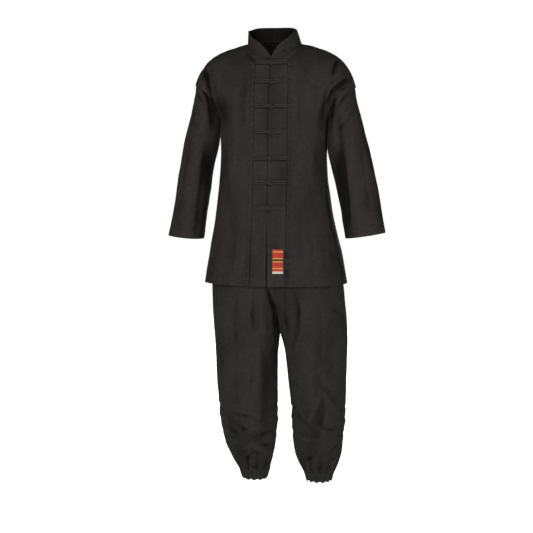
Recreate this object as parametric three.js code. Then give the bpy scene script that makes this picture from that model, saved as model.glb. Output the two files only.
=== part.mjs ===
// Tai chi uniform: a jacket with a stand collar and seven knotted frogs over trousers gathered at
// the ankles, both filled out as if worn. Millimetres, +Z up, the front faces -Y and +X is the
// wearer's left. The origin lies between the sides of the neck, where the shoulders hold it.

import * as THREE from 'three';

const CLOTH = 1.8;          // wall of the cloth
const SEAM = 0.3;           // gap between neighbouring pieces
const FRONT = -1;           // faces of the garment, as the sign of y
const BACK = 1;
const LEFT = 1;             // sides of the wearer, as the sign of x
const RIGHT = -1;

const HEM_Z = -736;         // jacket hem at the centre
const UNDERARM = 168;       // half the chest at the underarm seam
const UNDERARM_Z = -238;
const OPENING_TOP = -515;   // the fronts part below the last frog
const OPENING_HEM = 6;      // width of that opening at the hem

const FROG_Z = [-60, -117, -191, -269, -348, -421, -498];
const STRAP_HALF = 7;       // half the height of a strap, two cords side by side
const CORD_RISE = 3.6;      // height of a cord's crown above the band
const CORD_EDGE = 2.4;      // of its outer shoulder
const CORD_GROOVE = 2.2;    // and of the groove between the two cords
const KNOT_RADIUS = 5.8;
const STRAP_GAP = 1;        // between a strap and its knot, and between a strap and the band seam

const LABEL = { width: 32, top: -624, bottom: -697, inner: 15, thickness: 1.2 };

const COLLAR_HEIGHT = 42;
const COLLAR_END = 24;      // length over which each rounded front end drops
const COLLAR_END_HEIGHT = 0.16;
const COLLAR_TOP = { frontX: -3, sideX: -6, y: -4, width: 75, sideZ: COLLAR_HEIGHT - 1 };
const COLLAR_DEPTH = { [FRONT]: 78, [BACK]: 58 };
const COLLAR_DROP = { [FRONT]: 2, [BACK]: 5 };  // the back stays level further round to the sides

const WAIST_Z = -500;
const WAISTBAND = 38;       // height of the waistband
const CROTCH_Z = -904;
const ANKLE_TOP = -1343;
const ANKLE_Z = -1370;
const ANKLE_TAPER = 0.16;   // how far the ankle narrows to its edge
const GATHERS = 12;         // gathers round each ankle
const GATHERS_Z = -1250;    // where they begin
const GATHER_DEPTH = 4;
const SCALLOP = 2;          // how far the gathers wave the ankle's edge

// Spans into which the pieces are divided.
const BODY_SPANS = { toUnderarm: 12, armhole: 7, shoulder: 5 };
const BAND_SPANS = 2;
const FRONT_SPANS = 9;
const BACK_SPANS = 10;
const COLLAR_SPANS = 3;
const SLEEVE_SPANS = 15;
const LEG_SPANS = 10;
const GATHERED_SPANS = 24;

const COLOURS = { cloth: 0x2e2b2a, cord: 0x262423, label: 0x9c2a1c };

// A table is written as rows of numbers under named columns.
function table(columns, rows) {
  return rows.map((row) => Object.fromEntries(columns.map((column, i) => [column, row[i]])));
}

// Smooth value of one column at key, from rows in rising order of the key column.
function lookup(rows, keyColumn, column, key) {
  const last = rows.length - 2;
  let i = 0;
  while (i < last && rows[i + 1][keyColumn] < key) i += 1;
  const slope = (k) => {
    const a = rows[Math.max(k - 1, 0)];
    const b = rows[Math.min(k + 1, rows.length - 1)];
    return (b[column] - a[column]) / (b[keyColumn] - a[keyColumn]);
  };
  const span = rows[i + 1][keyColumn] - rows[i][keyColumn];
  const t = THREE.MathUtils.clamp((key - rows[i][keyColumn]) / span, 0, 1);
  const [p, q] = [rows[i][column], rows[i + 1][column]];
  const blend = t * t * (3 - 2 * t);
  const startPull = t * (1 - t) * (1 - t) * span * slope(i);
  const endPull = t * t * (1 - t) * span * slope(i + 1);
  return p + (q - p) * blend + startPull - endPull;
}

// Jacket body: half widths to each side, and the depth of the centre front and centre back.
const TORSO = table(['z', 'right', 'left', 'front', 'back'], [
  [-740, 222, 230, 150, 150],
  [-657, 205, 213, 147, 145],
  [-607, 197, 200, 143, 139],
  [-557, 187, 186, 140, 132],
  [-482, 179, 174, 136, 124],
  [-407, 172, 165, 133, 119],
  [-330, 168, 162, 131, 118],
  [-290, 170.6, 165, 130, 119],
  [UNDERARM_Z, UNDERARM, UNDERARM, 128, 119],
  [-180, UNDERARM, UNDERARM, 122, 118],
  [-117, UNDERARM, UNDERARM, 112, 112],
  [-51, UNDERARM, UNDERARM, 95, 95],
  [-20, UNDERARM, UNDERARM, 80, 78],
  [12, UNDERARM, UNDERARM, 70, 54],
]);

// Lines down the front, as x: where the bands lap, the knots, and the bands' outer seams.
const FRONT_LINES = table(['z', 'lap', 'knot', 'right', 'left'], [
  [-740, -3, 0, -56, 52],
  [-498, -4, 2, -49, 55],
  [-348, -3, 6, -47, 56],
  [-190, -3, 7, -45, 56],
  [-117, -1, 6, -45, 55],
  [-58, 3, 5, -45, 53],
]);

// Each half of the left armhole, from the underarm to the top of the dropped shoulder seam.
const ARMHOLE_COLUMNS = ['x', 'y', 'z'];
const ARMHOLE = {
  [FRONT]: table(ARMHOLE_COLUMNS, [
    [UNDERARM, 0, UNDERARM_Z],
    [173, -38, -218],
    [183, -58, -188],
    [198, -67, -160],
    [217, -64, -142],
    [238, -42, -130],
    [251, 0, -126],
  ]),
  [BACK]: table(ARMHOLE_COLUMNS, [
    [UNDERARM, 0, UNDERARM_Z],
    [179, 42, -227],
    [195, 67, -206],
    [213, 75, -180],
    [230, 66, -155],
    [244, 38, -135],
    [251, 0, -126],
  ]),
};

// Shoulder line from the armhole to the side of the neck.
const SHOULDER = table(['x', 'y', 'z'], [
  [251, 0, -126],
  [237, 0, -89],
  [223, 0, -63],
  [198, 0, -40],
  [150, 0, -19],
  [110, 0, -4],
  [83, 0, 0],
]);

// Where the rows of a panel leave its centre line: at the hem, the underarm, the armhole top and
// the neck.
const CENTRE_ROWS = {
  [FRONT]: [HEM_Z, -250, -128, -51],
  [BACK]: [HEM_Z - 2, -246, -100, 12],
};
const FULLNESS = { [FRONT]: 2.3, [BACK]: 2.5 };   // exponent of the rounded body section

// Sleeve rings, "along" from the armhole to the cuff: the outer and inner edge seen from the
// front, the place of the middle in y, and half the depth.
const SLEEVE_COLUMNS = ['along', 'outerX', 'outerZ', 'innerX', 'innerZ', 'y', 'depth'];
const SLEEVES = {
  [RIGHT]: table(SLEEVE_COLUMNS, [
    [0, 251, -127, 169, -239, 0, 70],
    [0.12, 261, -180, 169, -280, -2, 69],
    [0.25, 272, -240, 179, -325, -5, 68],
    [0.5, 296, -360, 199, -415, -10, 67],
    [0.75, 316, -478, 209, -505, -17, 66],
    [1, 335, -592, 220, -603, -25, 66],
  ]),
  [LEFT]: table(SLEEVE_COLUMNS, [
    [0, 251, -127, 169, -239, 0, 70],
    [0.12, 263, -180, 161, -280, -3, 68],
    [0.25, 276, -240, 162.6, -325, -6, 65],
    [0.5, 306, -360, 184, -415, -12, 61],
    [0.75, 331, -473, 204, -505, -18, 59],
    [1, 350, -577, 222, -597, -25, 58],
  ]),
};
const ARMHOLE_BLEND = 0.3;  // share of the sleeve over which the armhole turns into the tube

// Trouser legs: the outer and inner edge seen from the front, and half the depth. Above the
// crotch the inner edge is where the rounded leg would end beyond the centre seam.
const LEG_COLUMNS = ['z', 'outer', 'inner', 'depth'];
const LEGS = {
  [RIGHT]: table(LEG_COLUMNS, [
    [-1345, -110, -17, 46],
    [-1319, -128, -10, 58],
    [-1293, -142, -3, 68],
    [-1241, -162, 6, 83],
    [-1163, -178, 10, 92],
    [-1059, -184, 9, 96],
    [-955, -190, 12, 101],
    [-904, -193, 17, 105],
    [-852, -196, 33, 110],
    [-750, -200, 75, 116],
    [-640, -191, 115, 119],
    [-538, -160, 150, 117],
    [WAIST_Z, -146, 156, 115],
  ]),
  [LEFT]: table(LEG_COLUMNS, [
    [-1345, 188, 97, 46],
    [-1319, 200, 83, 58],
    [-1293, 210, 70, 68],
    [-1241, 220, 58, 83],
    [-1163, 226, 54, 92],
    [-1059, 229, 45, 96],
    [-955, 232, 31, 101],
    [-904, 231, 19, 105],
    [-852, 229, 2, 110],
    [-750, 218, -50, 116],
    [-640, 203, -96, 119],
    [-538, 170, -140, 117],
    [WAIST_Z, 156, -146, 115],
  ]),
};
const CROTCH_X = 18;        // centre seam of the trousers at the crotch
const WAIST_X = 5;          // and at the waist
const TROUSER_ROWS = [
  WAIST_Z - WAISTBAND, -590, -640, -690, -730, -764, -798, -832, -868, CROTCH_Z, -945, -990,
  -1035, -1080, -1120, -1155, -1185, -1215, -1245,
];
const GATHERED_ROWS = [-1272, -1298, -1322, ANKLE_TOP];

// Soft folds of the shell, along lines of x and z seen from the front: a ridge has a positive
// height and a trough a negative one, and width is the distance over which it dies out.
const JACKET_FOLDS = [
  { face: FRONT, height: 7, width: 26, line: [[-101, -180], [-103, -246], [-147, -429]] },
  { face: FRONT, height: -6, width: 24, line: [[-140, -215], [-150, -300], [-165, -380]] },
  { face: FRONT, height: 6, width: 26, line: [[160, -187], [143, -247], [113, -427]] },
  { face: FRONT, height: -5, width: 24, line: [[165, -260], [155, -340], [150, -430]] },
  { face: FRONT, height: -9, width: 18, line: [[-209, -75], [-190, -112], [-180, -160], [-174, -205]] },
  { face: FRONT, height: -9, width: 17, line: [[190, -112], [177, -150], [174, -205]] },
  { face: FRONT, height: 6, width: 13, line: [[222, -88], [211, -118], [186, -158]] },
  { face: FRONT, height: -5, width: 14, line: [[238, -124], [214, -139], [190, -165]] },
  { face: FRONT, height: 4, width: 30, line: [[-70, -560], [-90, -700]] },
  { face: FRONT, height: 4, width: 30, line: [[110, -560], [140, -720]] },
  { face: BACK, height: -5, width: 24, line: [[-196, -150], [-172, -260]] },
  { face: BACK, height: -5, width: 24, line: [[194, -146], [170, -250]] },
  { face: BACK, height: 7, width: 28, line: [[-118, -170], [-112, -260], [-128, -430]] },
  { face: BACK, height: 6, width: 28, line: [[124, -180], [110, -270], [118, -410]] },
  { face: BACK, height: -6, width: 24, line: [[-60, -380], [-66, -520], [-84, -640]] },
  { face: BACK, height: 6, width: 26, line: [[-20, -430], [-22, -600], [-30, -720]] },
  { face: BACK, height: -5, width: 24, line: [[34, -400], [40, -560], [52, -690]] },
  { face: BACK, height: 6, width: 26, line: [[86, -470], [98, -600], [116, -720]] },
];

const SLEEVE_FOLDS = [
  { face: FRONT, height: 6, width: 20, line: [[-215, -300], [-224, -380], [-250, -590]] },
  { face: FRONT, height: -6, width: 16, line: [[-196, -290], [-205, -380], [-226, -560]] },
  { face: FRONT, height: 6, width: 20, line: [[222, -300], [228, -380], [262, -590]] },
  { face: FRONT, height: -6, width: 18, line: [[190, -290], [200, -380], [232, -560]] },
  { face: FRONT, height: 5, width: 16, line: [[250, -225], [228, -250], [198, -272]] },
  { face: BACK, height: -5, width: 14, line: [[-268, -300], [-232, -330], [-206, -352]] },
  { face: BACK, height: -5, width: 14, line: [[272, -310], [240, -345], [204, -366]] },
  { face: BACK, height: 5, width: 20, line: [[-255, -230], [-268, -400], [-290, -590]] },
  { face: BACK, height: 5, width: 20, line: [[258, -230], [276, -400], [296, -590]] },
];

const TROUSER_FOLDS = [
  { face: FRONT, height: -9, width: 12, line: [[-12, -740], [14, -811], [18, -868]] },
  { face: FRONT, height: -8, width: 15, line: [[-48, -740], [-57, -826], [-52, -890]] },
  { face: FRONT, height: 7, width: 20, line: [[-30, -760], [-36, -850], [-44, -950]] },
  { face: FRONT, height: -9, width: 14, line: [[80, -740], [92, -809], [88, -876], [64, -948]] },
  { face: FRONT, height: 7, width: 18, line: [[62, -750], [70, -830], [62, -900]] },
  { face: FRONT, height: 6, width: 20, line: [[110, -760], [114, -850], [90, -960]] },
  { face: FRONT, height: 8, width: 26, line: [[-39, -900], [-34, -1000], [-45, -1090], [-76, -1140]] },
  { face: FRONT, height: -8, width: 14, line: [[-118, -1143], [-70, -1154], [-28, -1171]] },
  { face: FRONT, height: 7, width: 12, line: [[-116, -1160], [-70, -1171], [-24, -1186]] },
  { face: FRONT, height: -9, width: 13, line: [[-112, -1178], [-86, -1193], [-66, -1206]] },
  { face: FRONT, height: 7, width: 12, line: [[-78, -1214], [-48, -1200], [-14, -1190]] },
  { face: FRONT, height: -8, width: 13, line: [[-66, -1228], [-26, -1214], [8, -1206]] },
  { face: FRONT, height: 7, width: 15, line: [[-99, -1268], [-62, -1254], [-26, -1266], [-9, -1300]] },
  { face: FRONT, height: -7, width: 14, line: [[-90, -1306], [-70, -1282], [-46, -1272]] },
  { face: FRONT, height: -8, width: 18, line: [[150, -1046], [180, -1073], [202, -1113]] },
  { face: FRONT, height: 8, width: 22, line: [[162, -1079], [135, -1134], [110, -1189]] },
  { face: FRONT, height: -6, width: 16, line: [[84, -1110], [90, -1150], [100, -1184]] },
  { face: FRONT, height: -8, width: 14, line: [[104, -1300], [120, -1285], [142, -1262]] },
  { face: FRONT, height: -8, width: 14, line: [[176, -1290], [190, -1265], [212, -1240]] },
  { face: FRONT, height: 7, width: 18, line: [[158, -1220], [160, -1270], [156, -1320]] },
  { face: BACK, height: 8, width: 28, line: [[-120, -780], [-112, -920], [-104, -1060]] },
  { face: BACK, height: 8, width: 28, line: [[132, -780], [130, -920], [138, -1050]] },
  { face: BACK, height: -8, width: 20, line: [[-60, -780], [-50, -850], [-20, -920]] },
  { face: BACK, height: -8, width: 20, line: [[92, -780], [80, -850], [52, -925]] },
  { face: BACK, height: -8, width: 15, line: [[-150, -1120], [-96, -1138], [-30, -1128]] },
  { face: BACK, height: 7, width: 15, line: [[-150, -1150], [-92, -1168], [-20, -1160]] },
  { face: BACK, height: -8, width: 16, line: [[-146, -1210], [-92, -1226], [-30, -1214]] },
  { face: BACK, height: -8, width: 15, line: [[84, -1130], [140, -1142], [196, -1122]] },
  { face: BACK, height: 7, width: 15, line: [[78, -1160], [140, -1176], [204, -1158]] },
  { face: BACK, height: -7, width: 16, line: [[96, -1222], [146, -1234], [200, -1216]] },
];

// Distance from a place seen from the front to a fold's line, and how far along the line it lies.
function measureFold(line, x, z) {
  const place = new THREE.Vector2(x, z);
  let nearest = { distance: Infinity, along: 0 };
  for (let i = 0; i + 1 < line.length; i += 1) {
    const start = new THREE.Vector2(...line[i]);
    const step = new THREE.Vector2(...line[i + 1]).sub(start);
    const t = THREE.MathUtils.clamp(place.clone().sub(start).dot(step) / step.lengthSq(), 0, 1);
    const distance = place.distanceTo(start.addScaledVector(step, t));
    if (distance < nearest.distance) nearest = { distance, along: (i + t) / (line.length - 1) };
  }
  return nearest;
}

// How far the folds move a point of the cloth along its normal. A fold fades at both ends, and
// towards the side seams, where the cloth turns away from its face.
function foldHeight(folds, point, normal) {
  let height = 0;
  for (const fold of folds) {
    const facing = THREE.MathUtils.clamp(normal.y * fold.face * 1.4, 0, 1);
    const { distance, along } = measureFold(fold.line, point.x, point.z);
    const ends = 0.35 + 0.65 * Math.sin(Math.PI * along);
    height += fold.height * facing * ends * Math.exp(-((distance / fold.width) ** 2));
  }
  return height;
}

// A piece of cloth before it has a thickness: rows of points on its outer side. Rows may differ in
// their number of points. A ring's rows close on themselves.
function clothPiece(name, rows, { ring = false, flip = false } = {}) {
  const starts = [];
  const points = [];
  for (const row of rows) {
    starts.push(points.length);
    points.push(...row.map((point) => point.clone()));
  }
  const triangles = [];
  const addTriangle = (a, b, c) => triangles.push(flip ? [a, c, b] : [a, b, c]);
  for (let r = 0; r + 1 < rows.length; r += 1) {
    const counts = [rows[r].length, rows[r + 1].length];
    const spans = counts.map((count) => (ring ? count : count - 1));
    const at = (side, k) => starts[r + side] + (k % counts[side]);
    const length = (a, b) => points[a].distanceTo(points[b]);
    let [i, j] = [0, 0];
    while (i < spans[0] || j < spans[1]) {
      const [a, b, c, d] = [at(0, i), at(0, i + 1), at(1, j + 1), at(1, j)];
      const lead = (i + 1) / spans[0] - (j + 1) / spans[1];
      if (lead === 0) {
        // Of the two ways to split four points, the one with the shorter diagonal.
        const split = length(a, c) < length(b, d) ? [[a, b, c], [a, c, d]] : [[a, b, d], [b, c, d]];
        split.forEach((corners) => addTriangle(...corners));
      } else {
        addTriangle(...(lead < 0 ? [a, b, d] : [a, c, d]));
      }
      if (lead <= 0) i += 1;
      if (lead >= 0) j += 1;
    }
  }
  return { name, points, triangles };
}

const placeKey = (point) => point.toArray().map((value) => Math.round(value * 50)).join(' ');

function triangleNormal(points, corners) {
  const [a, b, c] = corners.map((corner) => points[corner]);
  return b.clone().sub(a).cross(c.clone().sub(a));
}

// Normals of all pieces. Where the edges of pieces meet, they share the middle direction.
function sharedNormals(pieces) {
  const own = pieces.map(({ points, triangles }) => {
    const normals = points.map(() => new THREE.Vector3());
    for (const corners of triangles) {
      const area = triangleNormal(points, corners);
      corners.forEach((corner) => normals[corner].add(area));
    }
    return normals.map((normal) => normal.normalize());
  });
  const shared = new Map();
  pieces.forEach(({ points }, k) => points.forEach((point, i) => {
    const key = placeKey(point);
    if (!shared.has(key)) shared.set(key, new THREE.Vector3());
    shared.get(key).add(own[k][i]);
  }));
  const sharedAt = (point) => shared.get(placeKey(point)).clone().normalize();
  return pieces.map(({ points }) => points.map(sharedAt));
}

function fold(pieces, folds) {
  const normals = sharedNormals(pieces);
  pieces.forEach(({ points }, k) => points.forEach((point, i) => {
    point.addScaledVector(normals[k][i], foldHeight(folds, point, normals[k][i]));
  }));
}

// The open edges of a piece, each with the triangle that it bounds.
function openEdges(triangles) {
  const edges = new Map();
  for (const corners of triangles) {
    corners.forEach((from, i) => {
      const to = corners[(i + 1) % 3];
      if (!edges.delete(`${to} ${from}`)) edges.set(`${from} ${to}`, { from, to, corners });
    });
  }
  return [...edges.values()];
}

// Draws the open edges in by half a seam, square to each edge and along the cloth.
function insetEdges({ points, triangles }) {
  const inward = new Map();
  for (const { from, to, corners } of openEdges(triangles)) {
    const along = points[to].clone().sub(points[from]);
    const direction = triangleNormal(points, corners).cross(along).normalize();
    for (const corner of [from, to]) inward.set(corner, [...(inward.get(corner) ?? []), direction]);
  }
  for (const [corner, [first, second]] of inward) {
    const mitre = SEAM / 2 / (1 + Math.max(first.dot(second), -0.2));
    points[corner].addScaledVector(first, mitre).addScaledVector(second, mitre);
  }
}

// Closed wall of a piece: its outer side, its inner side one thickness in, and the rim between.
function wall({ name, points, triangles }, normals, thickness = CLOTH) {
  const count = points.length;
  const inner = points.map((point, i) => point.clone().addScaledVector(normals[i], -thickness));
  const faces = [...triangles];
  for (const [a, b, c] of triangles) faces.push([a + count, c + count, b + count]);
  const order = ({ x, y, z }) => z + 0.3 * y + 0.1 * x;
  for (const { from, to } of openEdges(triangles)) {
    // Neighbours split the facing quads of their rims the same way.
    const rising = order(points[from]) < order(points[to]);
    const [a, b, c, d] = [to, from, from + count, to + count];
    faces.push(...(rising ? [[a, b, c], [a, c, d]] : [[a, b, d], [b, c, d]]));
  }
  return solid(name, [...points, ...inner], faces, COLOURS.cloth);
}

function solid(name, points, faces, colour, roughness = 0.85) {
  const geometry = new THREE.BufferGeometry();
  const places = points.flatMap((point) => point.toArray());
  geometry.setAttribute('position', new THREE.Float32BufferAttribute(places, 3));
  geometry.setIndex(faces.flat());
  geometry.computeVertexNormals();
  const material = new THREE.MeshStandardMaterial({ color: colour, roughness, metalness: 0 });
  const mesh = new THREE.Mesh(geometry, material);
  mesh.name = name;
  return mesh;
}

// Pieces that are sewn together: folded as one surface, then parted by the seams and thickened.
function sew(pieces, folds) {
  fold(pieces, folds);
  const normals = sharedNormals(pieces);
  pieces.forEach(insetEdges);
  return pieces.map((piece, k) => wall(piece, normals[k]));
}

const sideName = (side) => (side === LEFT ? 'left' : 'right');
const even = (count) => Array.from({ length: count + 1 }, (_, i) => i / count);

const curveThrough = (rows) => (
  new THREE.CatmullRomCurve3(rows.map(({ x, y, z }) => new THREE.Vector3(x, y, z))));

const shoulderCurve = curveThrough(SHOULDER);
const armholeCurves = { [FRONT]: curveThrough(ARMHOLE[FRONT]), [BACK]: curveThrough(ARMHOLE[BACK]) };

// A row of the body is numbered by "level": 0 at the hem, 1 at the underarm, 2 at the top of the
// armhole and 3 at the neck.
function rowHeight(face, level) {
  const heights = CENTRE_ROWS[face];
  const i = Math.min(Math.floor(level), 2);
  return THREE.MathUtils.lerp(heights[i], heights[i + 1], level - i);
}

function levelAt(z) {
  const heights = CENTRE_ROWS[FRONT];
  const i = z < heights[1] ? 0 : (z < heights[2] ? 1 : 2);
  return i + (z - heights[i]) / (heights[i + 1] - heights[i]);
}

function rowEnd(face, side, level) {
  if (level <= 1) {
    const z = THREE.MathUtils.lerp(HEM_Z - 2, UNDERARM_Z, level);
    return new THREE.Vector3(lookup(TORSO, 'z', sideName(side), z), 0, z);
  }
  if (level <= 2) return armholeCurves[face].getPointAt(level - 1);
  return shoulderCurve.getPointAt(level - 2);
}

// The rounded section of one row: its centre, half width and depth, and where its arc ends.
function rowSection(face, side, level) {
  const power = FULLNESS[face];
  const z = rowHeight(face, level);
  const end = rowEnd(face, side, level);
  const centreX = face === FRONT ? lookup(FRONT_LINES, 'z', 'lap', z) : 0;
  const depth = lookup(TORSO, 'z', face === FRONT ? 'front' : 'back', z);
  const reach = end.x - side * centreX;
  const width = reach / (1 - (Math.abs(end.y) / depth) ** power) ** (1 / power);
  const endAngle = Math.asin(Math.min((reach / width) ** (power / 2), 1));
  return { power, z, end, centreX, depth, width, endAngle };
}

// A point of the body, "across" from the centre line, 0, to the end of its row, 1.
function bodyPoint(face, side, level, across) {
  const { power, z, end, centreX, depth, width, endAngle } = rowSection(face, side, level);
  const angle = endAngle * across;
  const x = centreX + side * width * Math.sin(angle) ** (2 / power);
  const y = face * depth * Math.max(Math.cos(angle), 0) ** (2 / power);
  const rise = Math.sin(across * Math.PI / 2) ** 2;
  return new THREE.Vector3(x, across === 1 ? end.y : y, z + (end.z - z) * rise);
}

function acrossAt(side, level, distance) {
  const { power, width, endAngle } = rowSection(FRONT, side, level);
  return Math.asin((distance / width) ** (power / 2)) / endAngle;
}

// Distance from the lap to another of the front's lines, positive towards a side.
function fromLap(side, line, z) {
  return side * (lookup(FRONT_LINES, 'z', line, z) - lookup(FRONT_LINES, 'z', 'lap', z));
}

const bandWidth = (side, z) => fromLap(side, sideName(side), z);
const openingWidth = (z) => OPENING_HEM * Math.max((OPENING_TOP - z) / (OPENING_TOP - HEM_Z), 0);

const ARMHOLE_LEVELS = even(BODY_SPANS.armhole).map((t) => 1 + t);
const SHOULDER_LEVELS = even(BODY_SPANS.shoulder).map((t) => 2 + t);
const BODY_LEVELS = [
  ...even(BODY_SPANS.toUnderarm), ...ARMHOLE_LEVELS.slice(1), ...SHOULDER_LEVELS.slice(1),
];

// Places across a row where the band and the front panel have their points.
function bandShares(side, level) {
  const z = rowHeight(FRONT, level);
  const from = acrossAt(side, level, openingWidth(z) / 2);
  const to = acrossAt(side, level, bandWidth(side, z));
  return even(BAND_SPANS).map((t) => from + (to - from) * t);
}

function frontShares(side, level) {
  const from = bandShares(side, level)[BAND_SPANS];
  return even(FRONT_SPANS).map((t) => from + (1 - from) * t);
}

function jacketBand(side) {
  const rows = BODY_LEVELS.map((level) => (
    bandShares(side, level).map((across) => bodyPoint(FRONT, side, level, across))));
  return clothPiece(`front_band_${sideName(side)}`, rows, { flip: side === RIGHT });
}

function jacketFront(side) {
  const rows = BODY_LEVELS.map((level) => (
    frontShares(side, level).map((across) => bodyPoint(FRONT, side, level, across))));
  return clothPiece(`jacket_front_${sideName(side)}`, rows, { flip: side === RIGHT });
}

function jacketBack() {
  const shares = even(BACK_SPANS);
  const rows = BODY_LEVELS.map((level) => [
    ...shares.slice(1).reverse().map((t) => bodyPoint(BACK, RIGHT, level, t)),
    ...shares.map((t) => bodyPoint(BACK, LEFT, level, t)),
  ]);
  return clothPiece('jacket_back', rows, { flip: true });
}

// The sleeve's rings go from the shoulder seam's top over the front to the underarm and up the
// back.
function sleeve(side) {
  const front = ARMHOLE_LEVELS.map((level) => bodyPoint(FRONT, side, level, 1)).reverse();
  const back = ARMHOLE_LEVELS.map((level) => bodyPoint(BACK, side, level, 1)).slice(1, -1);
  const armhole = [...front, ...back];
  const first = SLEEVES[side][0];
  const rows = even(SLEEVE_SPANS).map((along) => armhole.map((start, k) => {
    if (along === 0) return start;
    const ring = (column) => lookup(SLEEVES[side], 'along', column, along);
    const angle = 2 * Math.PI * k / armhole.length;
    const outward = (1 + Math.cos(angle)) / 2;
    const tube = new THREE.Vector3(
      side * THREE.MathUtils.lerp(ring('innerX'), ring('outerX'), outward),
      ring('y') - ring('depth') * Math.sin(angle),
      THREE.MathUtils.lerp(ring('innerZ'), ring('outerZ'), outward));
    const settled = THREE.MathUtils.smoothstep(along, 0, ARMHOLE_BLEND);
    const moved = (column) => (ring(column) - first[column]) / 2;
    const armholeHere = start.clone().add(new THREE.Vector3(
      side * (moved('outerX') + moved('innerX')), 0, moved('outerZ') + moved('innerZ')));
    return armholeHere.lerp(tube, settled);
  }));
  return clothPiece(`sleeve_${sideName(side)}`, rows, { ring: true, flip: side === RIGHT });
}

// The collar stands on the neckline from one front end round the back to the other.
function collar() {
  const neckPart = (face, side, shares) => shares.map((t) => ({
    base: bodyPoint(face, side, 3, t), top: collarTop(face, side, t) }));
  const half = (side) => [
    ...neckPart(FRONT, side, [...bandShares(side, 3), ...frontShares(side, 3).slice(1)]),
    ...neckPart(BACK, side, even(BACK_SPANS).reverse().slice(1)),
  ];
  const columns = [...half(RIGHT), ...half(LEFT).slice(0, -1).reverse()];
  const ends = [columns[0].base, columns[columns.length - 1].base];
  const rows = even(COLLAR_SPANS).map((up) => columns.map(({ base, top }) => {
    const inset = Math.min(base.distanceTo(ends[0]), base.distanceTo(ends[1]));
    const bend = 1 - Math.min(inset / COLLAR_END, 1);
    const height = COLLAR_END_HEIGHT + (1 - COLLAR_END_HEIGHT) * Math.sqrt(1 - bend * bend);
    return base.clone().lerp(top, up * height);
  }));
  return clothPiece('collar', rows, { flip: true });
}

function collarTop(face, side, across) {
  const power = FULLNESS[face];
  const angle = across * Math.PI / 2;
  const { frontX, sideX, y, width, sideZ } = COLLAR_TOP;
  const middleX = face === FRONT ? THREE.MathUtils.lerp(frontX, sideX, Math.sin(angle)) : sideX;
  const middleZ = CENTRE_ROWS[face][3] + COLLAR_HEIGHT;
  return new THREE.Vector3(
    middleX + side * width * Math.sin(angle) ** (2 / power),
    y + face * COLLAR_DEPTH[face] * Math.max(Math.cos(angle), 0) ** (2 / power),
    THREE.MathUtils.lerp(middleZ, sideZ, Math.sin(angle) ** COLLAR_DROP[face]));
}

// A place on the bands and the outward direction there, at a distance from the lap. A negative
// distance lies on the other band.
function bandFrame(side, z, distance) {
  if (distance < 0) return bandFrame(-side, z, -distance);
  const level = levelAt(z);
  const across = acrossAt(side, level, distance);
  const point = bodyPoint(FRONT, side, level, across);
  const step = 0.01;
  const along = bodyPoint(FRONT, side, level, across + step).sub(point);
  const up = bodyPoint(FRONT, side, level + step, across).sub(point);
  return { point, normal: along.cross(up).multiplyScalar(side).normalize() };
}

// A strap is two cords sewn side by side onto the band, from the knot to the band seam.
function frogStrap(number, side, z) {
  const lowest = SEAM + 0.1;
  const section = [
    [-STRAP_HALF, lowest], [-STRAP_HALF, CORD_EDGE], [-STRAP_HALF / 2, CORD_RISE],
    [0, CORD_GROOVE],
    [STRAP_HALF / 2, CORD_RISE], [STRAP_HALF, CORD_EDGE], [STRAP_HALF, lowest],
  ];
  const start = fromLap(side, 'knot', z) + KNOT_RADIUS + STRAP_GAP;
  const end = bandWidth(side, z) - STRAP_GAP;
  const stops = even(3).map((t) => THREE.MathUtils.lerp(start, end, t));
  const points = stops.flatMap((distance) => section.map(([drop, height]) => {
    const { point, normal } = bandFrame(side, z + drop, distance);
    return point.addScaledVector(normal, height);
  }));
  const size = section.length;
  const faces = [];
  for (let r = 0; r + 1 < stops.length; r += 1) {
    for (let k = 0; k < size; k += 1) {
      const [a, b] = [r * size + k, r * size + (k + 1) % size];
      faces.push([a, b, b + size], [a, b + size, a + size]);
    }
  }
  const last = (stops.length - 1) * size;
  for (let k = 1; k + 1 < size; k += 1) {
    faces.push([0, k + 1, k], [last, last + k, last + k + 1]);
  }
  const turned = side === RIGHT ? faces : faces.map(([a, b, c]) => [a, c, b]);
  return solid(`frog_${number}_strap_${sideName(side)}`, points, turned, COLOURS.cord, 0.7);
}

function frogKnot(number, z) {
  const knot = new THREE.Mesh(
    new THREE.IcosahedronGeometry(KNOT_RADIUS, 1),
    new THREE.MeshStandardMaterial({ color: COLOURS.cord, roughness: 0.7, metalness: 0 }));
  const { point, normal } = bandFrame(LEFT, z, fromLap(LEFT, 'knot', z));
  knot.position.copy(point).addScaledVector(normal, KNOT_RADIUS + SEAM);
  knot.name = `frog_${number}_knot`;
  return knot;
}

// The label lies on the left band, made from the band's own points moved out.
function label() {
  const heights = even(4).map((t) => THREE.MathUtils.lerp(LABEL.bottom, LABEL.top, t));
  const lift = SEAM + LABEL.thickness;
  const rows = heights.map((z) => even(2).map((t) => {
    const inner = LABEL.inner - lookup(FRONT_LINES, 'z', 'lap', z);
    const { point, normal } = bandFrame(LEFT, z, inner + LABEL.width * t);
    return point.addScaledVector(normal, lift);
  }));
  const piece = clothPiece('label', rows);
  const mesh = wall(piece, sharedNormals([piece])[0], LABEL.thickness);
  mesh.material.color.set(COLOURS.label);
  return mesh;
}

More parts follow.
